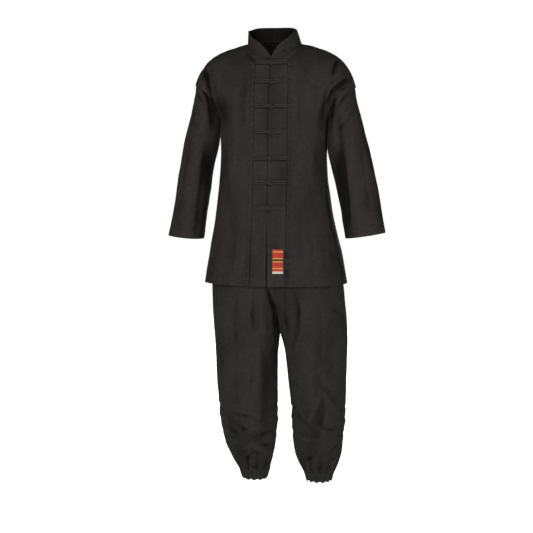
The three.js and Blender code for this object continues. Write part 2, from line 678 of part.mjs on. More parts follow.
// The rounded section of one leg: its middle, half width and depth, and where its arc ends, at
// the inseam, or at the centre seam above the crotch.
function legSection(side, z) {
  const leg = (column) => lookup(LEGS[side], 'z', column, z);
  const [outer, inner, depth] = [leg('outer'), leg('inner'), leg('depth')];
  const middle = (outer + inner) / 2;
  const half = Math.abs(outer - inner) / 2;
  const rise = THREE.MathUtils.clamp((z - CROTCH_Z) / (WAIST_Z - CROTCH_Z), 0, 1);
  const seamX = THREE.MathUtils.lerp(CROTCH_X, WAIST_X, Math.sqrt(rise));
  const reach = THREE.MathUtils.clamp(side * (middle - seamX) / half, -1, 1);
  const endAngle = z > CROTCH_Z ? Math.acos(-reach) : Math.PI;
  const bulge = (angle) => depth * Math.abs(Math.sin(angle)) ** 0.9;
  return { middle, half, seamX, endAngle, bulge };
}

// Half of a leg's section, from the side seam. Above the crotch both legs end at one depth, where
// the centre seam joins them.
function legRow(side, face, z, shares) {
  const { middle, half, seamX, endAngle, bulge } = legSection(side, z);
  const other = legSection(-side, z);
  const shift = z > CROTCH_Z ? (other.bulge(other.endAngle) - bulge(endAngle)) / 2 : 0;
  return shares.map((share) => {
    const angle = endAngle * share;
    const y = bulge(angle) + shift * share ** 4;
    const x = z > CROTCH_Z && share === 1 ? seamX : middle + side * half * Math.cos(angle);
    return new THREE.Vector3(x, face * y, z).add(gather(z, angle, face));
  });
}

// Gathers deepen towards the ankle.
function gather(z, angle, face) {
  const depth = GATHER_DEPTH * THREE.MathUtils.clamp((GATHERS_Z - z) / (GATHERS_Z - ANKLE_TOP), 0, 1);
  const round = face * angle;
  const wave = Math.cos(GATHERS * round + 0.8) * (1 + 0.25 * Math.cos(5 * round));
  const away = new THREE.Vector3(Math.cos(angle), face * Math.sin(angle), 0);
  return away.multiplyScalar(depth * wave);
}

function trouserPanel(side, face) {
  const count = (z) => (z < GATHERS_Z ? GATHERED_SPANS : LEG_SPANS);
  const rows = [...TROUSER_ROWS, ...GATHERED_ROWS].map((z) => legRow(side, face, z, even(count(z))));
  const name = `trouser_${face === FRONT ? 'front' : 'back'}_${sideName(side)}`;
  return clothPiece(name, rows, { flip: side * face === 1 });
}

function legRing(side, z, count) {
  const front = legRow(side, FRONT, z, even(count));
  const back = legRow(side, BACK, z, even(count)).slice(1, -1).reverse();
  return [...front, ...back];
}

function ankleBand(side) {
  const top = legRing(side, ANKLE_TOP, GATHERED_SPANS);
  const sum = top.reduce((total, point) => total.add(point), new THREE.Vector3());
  const centre = sum.divideScalar(top.length);
  const rows = [0, 0.5, 1].map((down) => top.map((point, k) => {
    const narrow = 1 - ANKLE_TAPER * down;
    const scallop = down * SCALLOP * Math.cos(GATHERS * 2 * Math.PI * k / top.length + 2);
    return new THREE.Vector3(
      centre.x + (point.x - centre.x) * narrow,
      centre.y + (point.y - centre.y) * narrow,
      ANKLE_TOP + (ANKLE_Z - ANKLE_TOP + scallop) * down);
  }));
  return clothPiece(`ankle_band_${sideName(side)}`, rows, { ring: true, flip: side === RIGHT });
}

function waistband() {
  const ringAt = (z) => {
    const quarter = (side, face) => legRow(side, face, z, even(LEG_SPANS));
    return [
      ...quarter(RIGHT, FRONT).slice(0, -1), ...quarter(LEFT, FRONT).reverse().slice(0, -1),
      ...quarter(LEFT, BACK).slice(0, -1), ...quarter(RIGHT, BACK).reverse().slice(0, -1),
    ];
  };
  const rows = [ringAt(WAIST_Z), ringAt(WAIST_Z - WAISTBAND)];
  return clothPiece('waistband', rows, { ring: true, flip: true });
}

const uniform = new THREE.Group();
const sides = [LEFT, RIGHT];
const jacket = [
  jacketBack(), collar(),
  ...sides.flatMap((side) => [jacketFront(side), jacketBand(side), sleeve(side)]),
];
const trousers = [
  waistband(), ...sides.map(ankleBand),
  ...sides.flatMap((side) => [trouserPanel(side, FRONT), trouserPanel(side, BACK)]),
];
uniform.add(...sew(jacket, [...JACKET_FOLDS, ...SLEEVE_FOLDS]), ...sew(trousers, TROUSER_FOLDS), label());
FROG_Z.forEach((z, i) => {
  uniform.add(frogKnot(i + 1, z), ...sides.map((side) => frogStrap(i + 1, side, z)));
});

export default uniform;
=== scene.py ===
import math

import bmesh
import bpy
import numpy as np
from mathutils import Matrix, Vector, noise
from mathutils.bvhtree import BVHTree
from mathutils.kdtree import KDTree


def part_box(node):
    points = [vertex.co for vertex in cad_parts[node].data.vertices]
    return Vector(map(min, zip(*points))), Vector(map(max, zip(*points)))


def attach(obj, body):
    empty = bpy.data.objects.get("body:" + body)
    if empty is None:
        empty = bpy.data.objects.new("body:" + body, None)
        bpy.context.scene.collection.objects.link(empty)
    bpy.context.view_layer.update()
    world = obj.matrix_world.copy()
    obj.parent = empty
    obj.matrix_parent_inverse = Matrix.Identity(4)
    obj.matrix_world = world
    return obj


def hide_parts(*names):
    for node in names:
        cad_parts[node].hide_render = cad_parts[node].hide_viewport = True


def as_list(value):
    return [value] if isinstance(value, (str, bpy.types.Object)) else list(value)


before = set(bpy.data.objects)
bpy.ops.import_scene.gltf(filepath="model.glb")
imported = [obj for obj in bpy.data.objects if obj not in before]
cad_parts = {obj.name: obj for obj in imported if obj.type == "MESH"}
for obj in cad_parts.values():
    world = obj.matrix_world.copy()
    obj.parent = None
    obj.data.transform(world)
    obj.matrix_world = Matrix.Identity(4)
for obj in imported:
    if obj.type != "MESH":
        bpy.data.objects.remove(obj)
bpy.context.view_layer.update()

# Sizes in metres, in the frame of the part: +Z up, the front faces -Y, +X is the wearer's left.
CLOTH = 0.0016              # thickness of the cotton
RIM_ANGLE = math.radians(42)    # a wall's rim meets its two sides more sharply than this
RIM_HEIGHT = 0.006          # faces of a band that are lower than this are its rims
WELD = 0.00005              # points of one wall that are nearer than this are one point
SEAM_MERGE = 0.0009         # neighbouring pieces are nearer than this along their seams
FINE = 3                    # subdivision of the cloth
CREASE_DEPTH = 2.0          # times the heights in the crease tables
FACING = 1.6                # how soon a crease fades as the cloth turns away from its side
SEAM_SHADE = 0.45        # how much of the deepest troughs' painted shade a seam gets
FULL_SHADE_DEPTH = 0.0050       # troughs this deep get the darkest painted shade
PAINTED_SHADE_STRENGTH = 0.78      # how much of the cloth's colour the painted shade takes away in the deepest troughs
COLLAR_SEAM_SHARPNESS = 0.7
HIGHLIGHT_REACH = 0.004           # how far the painted highlight reaches from an edge
EDGE_HIGHLIGHT = 0.12                 # how much of the painted highlight's colour an edge has
HIGHLIGHT_COLOUR = 1.9           # the painted highlight's colour, times the cloth's own

# Painted shade lines where cloth meets cloth or cord, painted shadow under the straps and painted
# shade round and under the knots: how dark they are, and half their width.
SEAM_SHADE_LINE, STITCH_SHADE_LINE, LAP_SHADOW = (0.34, 0.0016), (0.55, 0.0020), (0.85, 0.0016)
STRAP_SHADOW, KNOT_RING_SHADE, KNOT_SHADOW = (1.2, 0.0016), (0.9, 0.0025), (1.5, 0.0042)

JACKET = ["jacket_back", "jacket_front_left", "jacket_front_right", "front_band_left",
          "front_band_right", "sleeve_left", "sleeve_right", "collar"]
TROUSERS = ["trouser_front_left", "trouser_front_right", "trouser_back_left", "trouser_back_right"]
BANDS = ["front_band_left", "front_band_right"]

HEM_Z = -0.736
OPENING_TOP = -0.515        # the fronts part below the last frog
FROG_Z = [-0.060, -0.117, -0.191, -0.269, -0.348, -0.421, -0.498]
KNOT_RADIUS = 0.0058
PLAIT = 0.0046              # from a ball knot's middle to the middle of its cord
PLAIT_CORD = 0.0015         # radius of that cord
CORD = 0.0032               # radius of a strap's cord
CORD_LIFT = 0.0008          # of its middle above the band, which it is sewn down to
LOOP_SLOPES = [0.01, -0.055, 0.01, -0.01, 0.015, -0.01, 0.01]   # how each loop's cords hang
STRAP_GAP = 0.001           # from a strap's ends to the seam and the knot
LOOP_GAP = 0.0006           # from a ball knot to the middle of the cord round it

# Lines down the front, as x: where the bands lap, the knots, and the bands' outer seams.
FRONT_Z = [-0.740, -0.498, -0.348, -0.190, -0.117, -0.058]
LAP_X = [-0.003, -0.004, -0.003, -0.003, -0.001, 0.003]
KNOT_X = [0.000, 0.002, 0.006, 0.007, 0.006, 0.005]
RIGHT_SEAM_X = [-0.056, -0.049, -0.047, -0.045, -0.045, -0.045]
LEFT_SEAM_X = [0.052, 0.055, 0.056, 0.056, 0.055, 0.053]
BESIDE_SEAM = {1: 0.009, -1: 0.012}     # from the left and the right band seam to its stitching

CROTCH_X = 0.018            # the trousers' centre seam at the crotch
ANKLE_X = (0.141, -0.067)   # middles of the left and the right ankle
GATHERS = 12                # gathers round one ankle
GATHERS_Z = -1.258          # they begin here
GATHERS_HEIGHT = 0.060      # and are deepest this far down
GATHER_TROUGH = 0.0030
ANKLE_TOP = -1.343          # the ankle bands' upper edge
HEM_FADE = 0.014            # the trousers' creases die out over this height above it
UNDERARM_Z = -0.285         # middle of where sleeve and body lie together under the arm
UNDERARM_REACH = 0.055
BODY_FULLNESS = 0.0008
SLEEVE_FULLNESS = (0.0030, 0.0010)      # of the left and the right sleeve

LABEL = {"inner": 0.015, "width": 0.032, "top": -0.624, "bottom": -0.697,
         "lift": 0.0011, "thickness": 0.0009}

# Where a crease is seen from: the two axes of its line, and the direction it faces.
FACES = {
    "front": ((0, 2), (0, -1, 0)),
    "back": ((0, 2), (0, 1, 0)),
    "left": ((1, 2), (1, 0, 0)),
    "right": ((1, 2), (-1, 0, 0)),
}


def in_metres(**sides):
    """Creases given in millimetres, as rows of the side they face, height, width and line."""
    return [(side, height / 1000, width / 1000, [(a / 1000, b / 1000) for a, b in line])
            for side, rows in sides.items() for height, width, *line in rows]


# Creases of the cloth, by the side that they are seen from: height in millimetres, where a trough
# is negative, width, and the points of its line.
JACKET_CREASES = in_metres(front=[
    (-6.4, 8, (204, -26), (194, -60), (187, -95), (178, -130)),
    (5, 9, (226, -66), (204, -92), (182, -116), (166, -146)),
    (-7.4, 8, (236, -104), (208, -126), (184, -150), (168, -190)),
    (-4, 6, (178, -120), (168, -165), (162, -215), (160, -270)),
    (-8.5, 10, (-232, -58), (-216, -86), (-202, -111), (-190, -150)),
    (-4, 6, (-200, -110), (-190, -155), (-178, -205), (-172, -270)),
    (2.5, 8, (-214, -66), (-197, -100), (-187, -136)),
    (-2, 8, (-190, -70), (-170, -130), (-158, -190)),
    (-5.8, 24, (-172, -150), (-162, -250), (-166, -350), (-180, -470)),
    (1.8, 9, (-100, -250), (-104, -330), (-124, -420)),
    (-3.8, 20, (166, -170), (154, -250), (142, -340), (150, -450)),
    (1.8, 10, (120, -260), (100, -350), (88, -440)),
    (-1.6, 8, (-160, -255), (-130, -300), (-105, -322)),
    (-1.6, 8, (158, -262), (126, -312), (98, -338)),
    (0.9, 11, (-130, -470), (-142, -580), (-160, -720)),
    (-1, 11, (-100, -520), (-106, -620), (-112, -730)),
    (0.8, 10, (-74, -560), (-80, -660), (-84, -735)),
    (-0.9, 10, (94, -500), (104, -610), (112, -730)),
    (1, 11, (122, -480), (140, -600), (150, -725)),
    (-0.9, 10, (160, -540), (172, -640), (180, -725)),
    (-1.8, 5, (-3, -613), (14, -617), (34, -619)),
    (-2.2, 6, (30, -637), (50, -640), (74, -645)),
    (1.6, 6, (34, -650), (56, -656), (80, -664)),
    (-2, 6, (45, -682), (58, -690), (74, -706)),
    (-0.9, 3, (-47, -297), (-36, -297.5), (-26, -297)),
    (-0.9, 3, (-47, -330), (-36, -330.5), (-26, -330)),
    (0.8, 4, (-26, -300), (-26.5, -314), (-26, -328)),
    (-1.3, 12, (-66, -90), (-78, -170), (-80, -260)),
    (-1.3, 12, (80, -100), (92, -180), (90, -270)),
    (-2.5, 5, (-76, -24), (-62, -45), (-40, -58), (-18, -62)),
    (-2, 5, (78, -30), (62, -48), (36, -60)),
], back=[
    (-2.5, 8, (-205, -70), (-190, -120), (-176, -190)),
    (-2.5, 8, (206, -66), (192, -116), (178, -186)),
    (2.2, 9, (-182, -80), (-164, -140), (-150, -220)),
    (2.2, 9, (184, -84), (166, -146), (154, -224)),
    (-2, 9, (-160, -250), (-128, -300), (-90, -326)),
    (-2, 9, (158, -246), (130, -292), (94, -312)),
    (-1.8, 10, (-130, -300), (-124, -400), (-140, -520)),
    (-1.8, 11, (128, -310), (120, -420), (140, -540)),
    (1.8, 10, (-70, -420), (-78, -560), (-100, -720)),
    (-2, 10, (-40, -460), (-42, -600), (-54, -730)),
    (1.8, 11, (10, -440), (12, -590), (16, -730)),
    (-1.8, 10, (56, -470), (68, -600), (78, -730)),
    (-1.6, 12, (-60, 0), (-74, -80), (-70, -180)),
    (-1.6, 12, (58, -4), (70, -90), (66, -190)),
    (-1.5, 8, (-50, -20), (4, -30), (52, -18)),
], left=[
    (-2, 10, (-30, -420), (-42, -560), (-40, -730)),
    (2, 10, (20, -420), (30, -560), (26, -730)),
], right=[
    (2, 10, (-20, -430), (-30, -570), (-30, -730)),
    (-2, 10, (34, -410), (40, -560), (46, -730)),
])

SLEEVE_CREASES = in_metres(front=[
    (-8, 13, (-214, -128), (-199, -165), (-187, -225), (-186, -310)),
    (-8, 13, (202, -130), (187, -170), (176, -230), (177, -320)),
    (-6, 17, (-194, -210), (-211, -364), (-241, -612)),
    (2, 9, (-216, -230), (-238, -364), (-268, -594)),
    (-1.8, 8, (-262, -300), (-276, -400), (-294, -520)),
    (-3, 7, (-246, -146), (-222, -166), (-198, -206)),
    (2.2, 8, (-258, -162), (-232, -190), (-206, -236)),
    (-2, 7, (-250, -230), (-226, -262), (-204, -282)),
    (-1.6, 6, (-288, -548), (-262, -566), (-238, -570)),
    (-7.2, 21, (200, -200), (216, -368), (240, -604)),
    (2, 9, (240, -224), (250, -368), (268, -590)),
    (-1.8, 8, (270, -300), (286, -400), (304, -520)),
    (-3, 7, (246, -144), (218, -166), (196, -200)),
    (2.5, 8, (256, -166), (226, -190), (200, -226)),
    (-2.4, 7, (250, -200), (233, -232), (196, -268)),
    (-2, 6, (220, -526), (228, -560), (236, -600)),
], back=[
    (-2.4, 8, (-262, -180), (-236, -220), (-212, -250)),
    (-2.4, 8, (260, -176), (238, -216), (210, -246)),
    (-2.2, 9, (-246, -280), (-262, -420), (-284, -580)),
    (2, 9, (-224, -320), (-240, -450), (-256, -590)),
    (-2.2, 9, (250, -280), (268, -420), (292, -580)),
    (2, 9, (228, -320), (244, -450), (262, -590)),
    (-2, 7, (-278, -372), (-244, -396), (-214, -404)),
    (-2, 7, (284, -362), (250, -390), (216, -402)),
], left=[
    (-1.6, 10, (-20, -250), (-30, -380), (-40, -560)),
    (1.6, 10, (16, -260), (8, -400), (0, -560)),
], right=[
    (-1.6, 10, (-16, -260), (-26, -400), (-36, -570)),
    (1.6, 10, (20, -250), (10, -390), (2, -560)),
])

TROUSER_CREASES = in_metres(front=[
    (-3, 20, (-22, -930), (-18, -1050), (-30, -1200)),
    (-2.8, 18, (150, -1010), (168, -1120), (150, -1230)),
    (-1.4, 18, (-140, -1110), (-126, -1200), (-96, -1300)),
    (-8, 5.5, (-8, -740), (12, -811), (17, -868), (19, -905)),
    (-2.5, 8, (-48, -750), (-57, -826), (-52, -890)),
    (-2.8, 7, (80, -748), (92, -809), (88, -876), (64, -948)),
    (-2.5, 7, (46, -749), (43, -833), (50, -899)),
    (2, 9, (-26, -790), (-18, -870), (-22, -960)),
    (-1.8, 9, (-100, -760), (-112, -840), (-108, -930)),
    (-2.2, 8, (204, -771), (216, -776), (227, -780)),
    (-2.2, 8, (187, -812), (200, -820), (212, -829)),
    (2, 8, (-39, -879), (-30, -973), (-39, -1080), (-71, -1132)),
    (-1.6, 9, (-60, -930), (-56, -1020), (-70, -1100)),
    (-2.6, 8, (-121, -1144), (-70, -1154), (-29, -1172)),
    (2.5, 6, (-112, -1159), (-70, -1170), (-26, -1185)),
    (-2.6, 8, (-102, -1178), (-86, -1193), (-71, -1205)),
    (2.5, 6, (-77, -1209), (-48, -1198), (-20, -1189)),
    (-2.6, 8, (-62, -1223), (-26, -1213), (8, -1205)),
    (2.5, 7, (-99, -1264), (-62, -1256), (-26, -1269), (-10, -1302)),
    (-3, 6, (-87, -1305), (-71, -1282), (-53, -1272)),
    (-2.5, 5, (-71, -1314), (-63, -1324), (-55, -1336)),
    (-2.5, 6, (-36, -1239), (-14, -1250), (5, -1260)),
    (-2, 7, (-150, -1186), (-130, -1204), (-104, -1214)),
    (2, 7, (-150, -1226), (-122, -1236), (-90, -1238)),
    (-3, 7, (152, -1048), (180, -1073), (202, -1113)),
    (2.2, 8, (161, -1079), (135, -1134), (109, -1189)),
    (-2, 6, (64, -1051), (75, -1054), (86, -1059)),
    (-2.2, 7, (76, -1130), (96, -1160), (124, -1176)),
    (-2.2, 7, (150, -1170), (176, -1190), (206, -1196)),
    (2, 7, (80, -1210), (110, -1222), (140, -1220)),
    (-3, 6, (109, -1297), (120, -1291), (131, -1283)),
    (-3, 7, (181, -1267), (196, -1254), (212, -1239)),
    (-2.8, 6, (190, -1299), (196, -1292), (203, -1283)),
    (-1.5, 10, (150, -780), (160, -880), (156, -990)),
    (1.6, 10, (120, -960), (116, -1040), (120, -1110)),
], back=[
    (-2.5, 8, (-60, -780), (-50, -850), (-18, -922)),
    (-2.5, 8, (92, -780), (80, -850), (50, -926)),
    (2, 9, (-34, -790), (-22, -860), (-4, -900)),
    (2, 9, (66, -790), (56, -860), (36, -902)),
    (-2, 9, (-100, -900), (-88, -1000), (-94, -1090)),
    (-2, 9, (120, -910), (116, -1010), (126, -1100)),
    (-3, 6, (-160, -1112), (-96, -1134), (-24, -1124)),
    (2.2, 7, (-156, -1140), (-92, -1160), (-18, -1152)),
    (-3, 7, (-152, -1172), (-100, -1190), (-40, -1184)),
    (-2.8, 7, (-140, -1226), (-92, -1242), (-34, -1232)),
    (-3, 6, (80, -1118), (140, -1136), (200, -1116)),
    (2.2, 7, (78, -1148), (140, -1166), (206, -1148)),
    (-2.8, 7, (86, -1182), (140, -1200), (196, -1190)),
    (-2.8, 7, (98, -1236), (146, -1250), (200, -1234)),
], right=[
    (-2.2, 8, (-60, -1120), (0, -1136), (50, -1126)),
    (2, 8, (-50, -1160), (6, -1172), (54, -1160)),
    (-2.2, 8, (-40, -1206), (6, -1216), (40, -1210)),
], left=[
    (-2.2, 8, (-56, -1130), (0, -1144), (52, -1130)),
    (2, 8, (-50, -1170), (4, -1182), (50, -1172)),
    (-2.2, 8, (-44, -1214), (2, -1226), (44, -1214)),
])

COLLAR_CREASES = in_metres(back=[
    (1.2, 6, (-48, 10), (-44, 28), (-46, 46)),
    (-1.4, 6, (-30, 12), (-26, 30), (-29, 48)),
    (1, 6, (-8, 12), (-10, 30), (-6, 48)),
    (-1.2, 5, (10, 14), (16, 30), (14, 46)),
    (1.2, 6, (34, 10), (30, 28), (34, 44)),
], front=[
    (-1, 6, (-60, -12), (-44, -26), (-26, -34)),
    (-1.2, 6, (66, -14), (48, -20), (30, -26)),
])


# How cloth is made from the panels' outer sides.

def add_object(name, data):
    obj = bpy.data.objects.new(name, data)
    bpy.context.scene.collection.objects.link(obj)
    return obj


def select_only(obj):
    bpy.ops.object.select_all(action="DESELECT")
    obj.select_set(True)
    bpy.context.view_layer.objects.active = obj


def apply_modifier(obj, kind, **settings):
    modifier = obj.modifiers.new(kind.title(), kind)
    for key, value in settings.items():
        setattr(modifier, key, value)
    select_only(obj)
    bpy.ops.object.modifier_apply(modifier=modifier.name)


def divide(cloth):
    apply_modifier(cloth, "SUBSURF", levels=FINE, render_levels=FINE,
                   boundary_smooth="PRESERVE_CORNERS")


def smooth_groups(mesh, limit=RIM_ANGLE):
    """Groups of faces that run on into one another without an edge sharper than the limit."""
    left = set(mesh.faces)
    while left:
        group, front = set(), [left.pop()]
        while front:
            face = front.pop()
            group.add(face)
            for edge in face.edges:
                for other in edge.link_faces:
                    if other in left and edge.calc_face_angle(math.pi) < limit:
                        left.remove(other)
                        front.append(other)
        yield group


def outward(group, middle):
    """How much a group of faces looks away from an upright line through the middle."""
    total = 0
    for face in group:
        arm = face.calc_center_median() - middle
        arm.z = 0
        total += face.calc_area() * face.normal.dot(arm.normalized())
    return total


def wall_of(node):
    """A node's wall as a closed surface, and the middle of its box."""
    shell = bmesh.new()
    shell.from_mesh(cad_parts[node].data)
    bmesh.ops.remove_doubles(shell, verts=shell.verts, dist=WELD)
    shell.normal_update()
    low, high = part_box(node)
    return shell, (low + high) / 2


def outermost(node, shell, sides, middle):
    """A mesh of the one side of a wall that looks outward, with its triangles joined in pairs."""
    outer = max(sides, key=lambda group: outward(group, middle))
    others = [face for face in shell.faces if face not in outer]
    bmesh.ops.delete(shell, geom=others, context="FACES")
    bmesh.ops.join_triangles(shell, faces=shell.faces, angle_face_threshold=math.radians(60),
                             angle_shape_threshold=math.radians(120))
    mesh = bpy.data.meshes.new(node)
    shell.to_mesh(mesh)
    shell.free()
    return mesh


def outer_side(node):
    """The outer side of a node's wall, without its inner side and its rim."""
    shell, middle = wall_of(node)
    middle.y = 0

    def area(group):
        return sum(face.calc_area() for face in group)

    return outermost(node, shell, sorted(smooth_groups(shell), key=area)[-2:], middle)


def outer_ring(node):
    """The outer side of a band that goes round."""
    ring, middle = wall_of(node)

    def height(face):
        levels = [corner.co.z for corner in face.verts]
        return max(levels) - min(levels)

    rims = [face for face in ring.faces if height(face) < RIM_HEIGHT]
    bmesh.ops.delete(ring, geom=rims, context="FACES")
    return outermost(node, ring, smooth_groups(ring, 2 * math.pi), middle)


def ends_meet(edge):
    """Whether an edge joins the two front ends of the collar, on either side of the lap."""
    sides = [face.calc_center_median().x > LAP_X[-1] for face in edge.link_faces]
    middle = (edge.verts[0].co + edge.verts[1].co) / 2
    return middle.y < 0 and len(set(sides)) == 2


def sewn_surface(nodes):
    """One finely divided surface over pieces that are sewn together, and each face's piece."""
    surface = bmesh.new()
    tag = surface.faces.layers.int.new("piece")
    for index, node in enumerate(nodes):
        mesh = outer_side(node)
        known = set(surface.faces)
        surface.from_mesh(mesh)
        for face in surface.faces:
            if face not in known:
                face[tag] = index
                face.material_index = index
        bpy.data.meshes.remove(mesh)
    bmesh.ops.remove_doubles(surface, verts=surface.verts, dist=SEAM_MERGE)
    sharpness = surface.edges.layers.float.new("crease_edge")
    lap = []
    for edge in surface.edges:
        meeting = {nodes[face[tag]] for face in edge.link_faces}
        if meeting == set(BANDS) or (meeting == {"collar"} and ends_meet(edge)):
            lap.append(edge)
        elif "collar" in meeting and len(meeting) == 2:
            edge[sharpness] = COLLAR_SEAM_SHARPNESS
    bmesh.ops.split_edges(surface, edges=lap)
    mesh = bpy.data.meshes.new("cloth")
    surface.to_mesh(mesh)
    surface.free()
    for _ in nodes:
        mesh.materials.append(None)
    cloth = add_object("cloth", mesh)
    divide(cloth)
    return cloth


def numbers(items, name, kind=int, width=1):
    values = np.empty(len(items) * width, dtype=kind)
    items.foreach_get(name, values)
    return values


def coordinates(mesh):
    return numbers(mesh.vertices, "co", float, 3).reshape(-1, 3)


def vertex_normals(mesh):
    return numbers(mesh.vertex_normals, "vector", float, 3).reshape(-1, 3)


def line_distance(places, line):
    """Distance of each place from a line of points, its side of it, and how far along it lies."""
    line = np.array(line)
    distance = np.full(len(places), np.inf)
    along = np.zeros(len(places))
    beyond = np.zeros(len(places))
    for i in range(len(line) - 1):
        step = line[i + 1] - line[i]
        t = np.clip((places - line[i]) @ step / (step @ step), 0, 1)
        here = np.linalg.norm(places - line[i] - t[:, None] * step, axis=1)
        nearer = here < distance
        distance[nearer] = here[nearer]
        along[nearer] = (i + t[nearer]) / (len(line) - 1)
        offset = places[nearer] - line[i]
        beyond[nearer] = step[0] * offset[:, 1] - step[1] * offset[:, 0]
    return distance, np.sign(beyond), along


def bell(distance, width):
    return np.exp(-(distance / width) ** 2)


def crease_height(points, normals, creases):
    """A crease is deepest in its middle, steeper on one side, and lifts the cloth beside it."""
    height = np.zeros(len(points))
    for number, (face, depth, width, line) in enumerate(creases):
        axes, direction = FACES[face]
        facing = np.clip(normals @ np.array(direction) * FACING, 0, 1)
        distance, beyond, along = line_distance(points[:, axes], line)
        ends = np.sin(np.pi * np.clip(along, 0.02, 0.98)) ** 0.6
        uneven = 0.8 + 0.2 * np.sin(9 * along + 2.3 * number)
        spread = width * (1 + 0.45 * beyond * (-1) ** number)
        profile = bell(distance, spread) - 0.25 * bell(distance, 2.3 * width)
        height += CREASE_DEPTH * depth * facing * ends * uneven * profile
    return height


def rumple(points, spread, size):
    """Soft uneven waves; spread gives their lengths along x, y and z."""
    scaled = points / np.array(spread)
    return size * np.array([noise.noise(Vector(place)) for place in scaled])


def band_seam(side, z):
    return np.interp(z, FRONT_Z, LEFT_SEAM_X if side > 0 else RIGHT_SEAM_X)


def lap_x(z):
    return np.interp(z, FRONT_Z, LAP_X)


def puckers(points, normals):
    """Puckers between each band seam and the stitching beside it, and the seam's own groove."""
    facing = np.clip(-normals[:, 1] * FACING, 0, 1)
    height = np.zeros(len(points))
    for side, reach in BESIDE_SEAM.items():
        beyond = side * (points[:, 0] - band_seam(side, points[:, 2]))
        groove = -0.0010 * bell(beyond, 0.0018)
        stitch = -0.0007 * bell(beyond - reach, 0.0018)
        z = points[:, 2] + 0.3 * beyond
        waves = np.sin(z * 2 * np.pi / 0.017 + 2 * np.sin(z * 31) + side)
        pucker = 0.0008 * waves * bell(beyond - reach / 2, 0.0055)
        height += groove + stitch + pucker
    return height * facing


def seam_shade(cloth):
    """The painted shade at the points of a sewn surface that lie on a seam between two pieces."""
    first = np.full(len(cloth.data.vertices), -1)
    marks = np.zeros(len(cloth.data.vertices))
    for polygon in cloth.data.polygons:
        for v in polygon.vertices:
            if first[v] >= 0 and first[v] != polygon.material_index:
                marks[v] = SEAM_SHADE
            first[v] = polygon.material_index
    return marks


def dark_line(distance, darkness, width):
    return darkness * bell(distance, width)


def painted_shade_lines(points, normals):
    """Painted shade along the seams, the stitching and the lap, painted shadow under the straps,
    and painted shade round and under the knots, at each point of the front.
    """
    z = points[:, 2]
    dark = np.zeros(len(points))
    for side, reach in BESIDE_SEAM.items():
        beyond = side * (points[:, 0] - band_seam(side, z))
        dashes = 0.5 + 0.5 * np.sin(z * 2 * np.pi / 0.0125 + side)
        dark += dark_line(beyond, *SEAM_SHADE_LINE)
        dark += dashes * dark_line(beyond - reach, *STITCH_SHADE_LINE)
    dark += dark_line(points[:, 0] - lap_x(z), *LAP_SHADOW) * (z > OPENING_TOP)
    for strap in FROG_Z:
        between = (points[:, 0] > band_seam(-1, strap)) & (points[:, 0] < band_seam(1, strap))
        # painted shadow under each strap
        dark += dark_line(z - strap + 0.0072, *STRAP_SHADOW) * between
        knot_x = np.interp(strap, FRONT_Z, KNOT_X)
        away = np.hypot(points[:, 0] - knot_x, z - strap)
        # painted shade round each knot
        dark += dark_line(away - KNOT_RADIUS, *KNOT_RING_SHADE)
        # painted shadow cast by each knot on the cloth below it
        under = np.hypot(points[:, 0] - knot_x + 0.0015, z - strap + 0.0094)
        dark += dark_line(under, *KNOT_SHADOW)
    dark *= z < -0.050
    return dark * np.clip(-normals[:, 1] * FACING, 0, 1)


def displace(cloth, move, lines=None):
    """Moves each point along its normal, and returns its painted shade, at most 1: darker in
    troughs, along seams and along the given lines, and a little painted light, down to -0.15, on
    ridges.
    """
    points = coordinates(cloth.data)
    height = move(points, vertex_normals(cloth.data))
    points += vertex_normals(cloth.data) * height[:, None]
    cloth.data.vertices.foreach_set("co", points.ravel())
    cloth.data.update()
    # painted shade: deeper in troughs and along seams, negative on ridges, which is painted light
    depth = -height / FULL_SHADE_DEPTH + seam_shade(cloth)
    if lines:
        depth = depth + lines(points, vertex_normals(cloth.data))
    return np.clip(depth, -0.15, 1)


def faces_of(mesh, index):
    return np.nonzero(numbers(mesh.polygons, "material_index") == index)[0]


def take_piece(cloth, index, name, painted_shades):
    """The piece of a sewn surface with that number, as an object of its own."""
    source = cloth.data
    polygons = [list(source.polygons[i].vertices) for i in faces_of(source, index)]
    used = sorted({v for corners in polygons for v in corners})
    renumber = {v: i for i, v in enumerate(used)}
    points = coordinates(source)[used]
    mesh = bpy.data.meshes.new(name)
    corners = [[renumber[v] for v in polygon] for polygon in polygons]
    mesh.from_pydata(points.tolist(), [], corners)
    # the piece keeps its painted shade, which its material reads
    mesh.attributes.new("painted_shade", "FLOAT", "POINT").data.foreach_set("value", painted_shades[used])
    return add_object(name, mesh)


def open_loops(mesh):
    """The open edges of a piece as loops of points."""
    count = {}
    for polygon in mesh.polygons:
        for key in polygon.edge_keys:
            count[key] = count.get(key, 0) + 1
    nexts = {}
    for (a, b), uses in count.items():
        if uses == 1:
            nexts.setdefault(a, []).append(b)
            nexts.setdefault(b, []).append(a)
    loops, seen = [], set()
    for start in nexts:
        if start in seen:
            continue
        loop, here = [start], start
        seen.add(start)
        while True:
            onward = [v for v in nexts[here] if v not in seen]
            if not onward:
                break
            here = onward[0]
            seen.add(here)
            loop.append(here)
        loops.append([mesh.vertices[v].co.copy() for v in loop])
    return loops


def mark_edges(piece):
    """Stores how near each point is to the piece's edge, for the painted highlight along it."""
    mesh = piece.data
    rim = [point for loop in open_loops(mesh) for point in loop]
    tree = KDTree(len(rim))
    for i, point in enumerate(rim):
        tree.insert(point, i)
    tree.balance()
    nearness = [math.exp(-(tree.find(vertex.co)[2] / HIGHLIGHT_REACH) ** 2)
                for vertex in mesh.vertices]
    mesh.attributes.new("edge", "FLOAT", "POINT").data.foreach_set("value", nearness)


